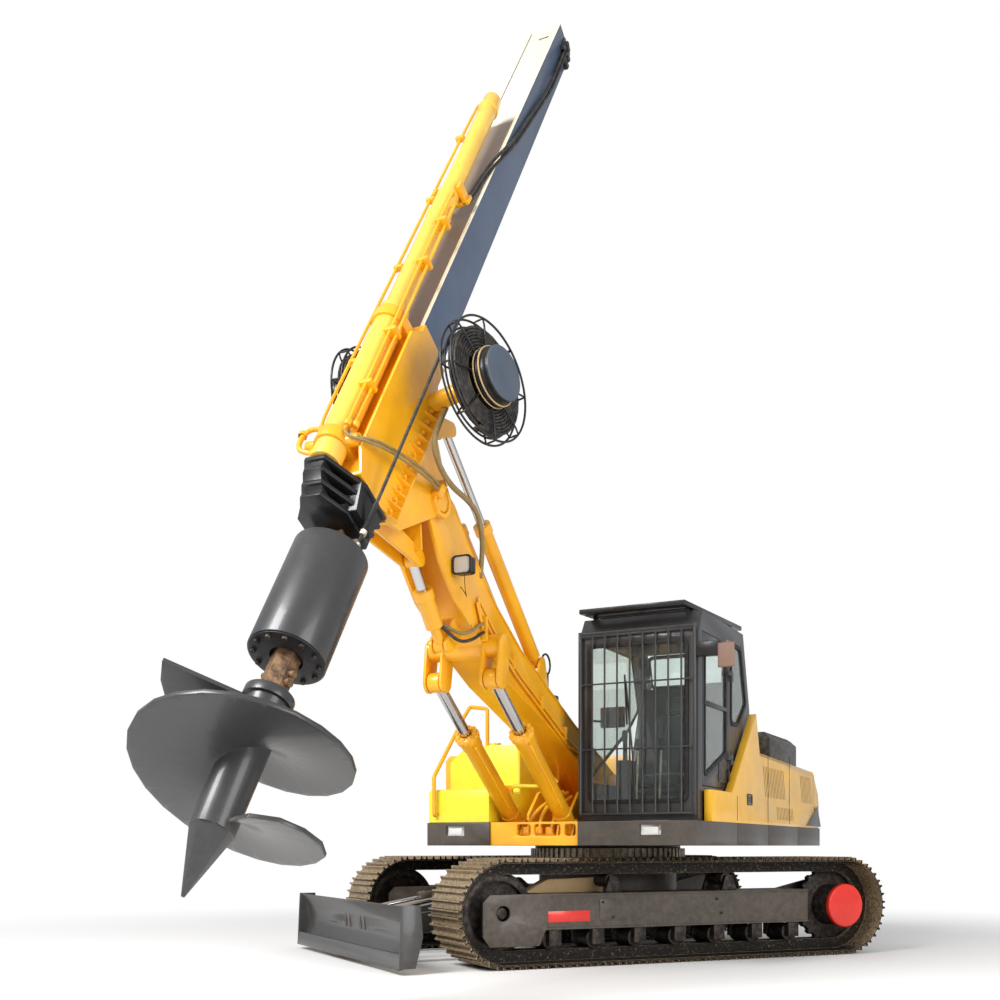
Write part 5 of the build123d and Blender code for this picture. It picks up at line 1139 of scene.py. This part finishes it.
# %% Skirt lamps and mirror arm
make_piece("lamp_bezels", joined([frame_shape(
    rounded([(y - 0.155, 1.175), (y + 0.155, 1.175), (y + 0.11, 1.045), (y - 0.11, 1.045)], 0.02),
    rounded([(y - 0.115, 1.155), (y + 0.115, 1.155), (y + 0.085, 1.06), (y - 0.085, 1.06)], 0.015), (1.802, 0, 0),
    LEFT, UP, 0.018) for y in (-0.65, 1.05)]), cover_plastic, "upper", 0.003)
make_piece("lamp_reflectors", joined([plate(rounded([
    (y - 0.117, 1.157), (y + 0.117, 1.157), (y + 0.087, 1.058), (y - 0.087, 1.058)], 0.015), (1.804, 0, 0), LEFT,
    UP, 0.010) for y in (-0.65, 1.05)]), chrome, "upper", 0.003)
make_piece("mirror_stem", block((1.442, 1.32, 2.455), (1.5375, 1.515, 2.565)), black_paint, "upper", 0.01)

# %% [markdown]
# The crawlers carry a red band, a bolted patch, bolts round the drive covers and a sand-coloured box behind
# the left beam. They are drawn along the tracks and turned by by_crawler, as the solids were.

# %% Crawler parts
BAND = [(0.909, 0.36), (1.298, 0.36), (1.298, 0.45), (0.909, 0.45)]
PATCH = [(0.663, 0.366), (0.815, 0.366), (0.815, 0.54), (0.663, 0.54)]
PATCH_BOLTS = [(0.69, 0.39), (0.79, 0.515), (-0.4, 0.40), (-0.35, 0.52)]
for name, outline, lift, material in (
        ("track_band", BAND, 1.2385, red_enamel), ("track_patch", PATCH, 1.242, chassis_paint)):
    for side, label in ((1, "left"), (-1, "right")):
        base = by_crawler([(0, side * lift, 0)])[0]
        make_piece(
            name + "_" + label, plate(outline, base, ALONG_TRACKS, UP, 0.004 * side), material, "crawler", 0.001)
turn = np.arange(8) * pi / 4
bolts = joined(
    [hexagons(np.stack([-1.7 + 0.17 * np.cos(turn), np.full(8, side * 1.298), 0.44 + 0.17 * np.sin(turn)], -1),
              side * LEFT, 0.022, 0.014) for side in (1, -1)]
    + [hexagons([(x, side * 1.241, z) for x, z in PATCH_BOLTS], side * LEFT, 0.022, 0.012) for side in (1, -1)])
make_piece("crawler_bolts", moved(bolts, by_crawler), roller_steel, "crawler")

step_box = plate([(0.62, 0.585), (1.38, 0.585), (1.15, 0.70), (0.62, 0.715)], (0, 0.96, 0), FORWARD, UP, 0.12)
make_piece("beam_box", moved(step_box, by_crawler), sand_primer, "crawler", 0.006)

# %% [markdown]
# A ram rod is chrome only where it slides through its gland. The eye at its end is painted with the machine,
# so a thin painted drum covers each one.

# %% Painted rod eyes
for name, body, places, radius, half in (
        ("lift_eyes", "lift_rods", [(2.88, 0.232, 2.18), (2.88, -0.232, 2.18)], 0.0735, 0.0475),
        ("rear_tilt_eyes", "rear_tilt_rods", [(3.363, 0.098, 3.833), (3.363, -0.098, 3.833)], 0.0445, 0.034),
        ("front_tilt_eye", "front_tilt_rod", [(3.64, 0.0, 2.90)], 0.0518, 0.039)):
    make_piece(name, joined([turned([(0.0, -half), (radius, -half), (radius, half), (0.0, half)], place, LEFT, 40)
        for place in places]), boom_enamel, body, 0.004)

# %% [markdown]
# Under the drum a dark flange is bolted on with twelve bolts, and one pin locks the auger's stub. Both are
# turned about the mast's axis, so they are drawn upright and by_mast leans them.

# %% Drum flange and stub pin
flange = turned([(0.10, 1.572), (0.225, 1.572), (0.225, 1.59), (0.10, 1.59)], (0, 0, 0), UP, 48)
ring_bolts = hexagons(ring_places((0, 0, 1.574), -UP, 0.195, 12), -UP, 0.03, 0.02)
make_piece("drum_flange", moved(flange, by_mast), console_plastic, "kelly", 0.002)
make_piece("drum_bolts", moved(ring_bolts, by_mast), roller_steel, "kelly")
pin = turned([(0.0, -0.105), (0.028, -0.105), (0.028, 0.105), (0.0, 0.105)], (0, 0, 1.39), LEFT, 20)
make_piece("stub_pin", moved(pin, by_mast), scale_steel, "auger", 0.003)

# %% [markdown]
# A thick sleeved hose leaves the guide behind the left reel and bends down to the boom. It crosses the tilting joint,
# so it is made like the hoses along the mast, as a mesh that rides on neither body.

# %% Hose behind the reel
reel_hose_run = [
    (3.713, 0.3, 3.843), (3.874, 0.33, 3.676), (3.957, 0.34, 3.521), (3.847, 0.33, 3.407), (3.593, 0.28, 3.36),
    (3.25, 0.22, 3.371), (3.05, 0.195, 3.33), (2.96, 0.185, 3.18), (2.94, 0.17, 3.03), (2.94, 0.155, 2.90)]
crossing("reel_hose", reel_hose_run, 0.019, sleeve)
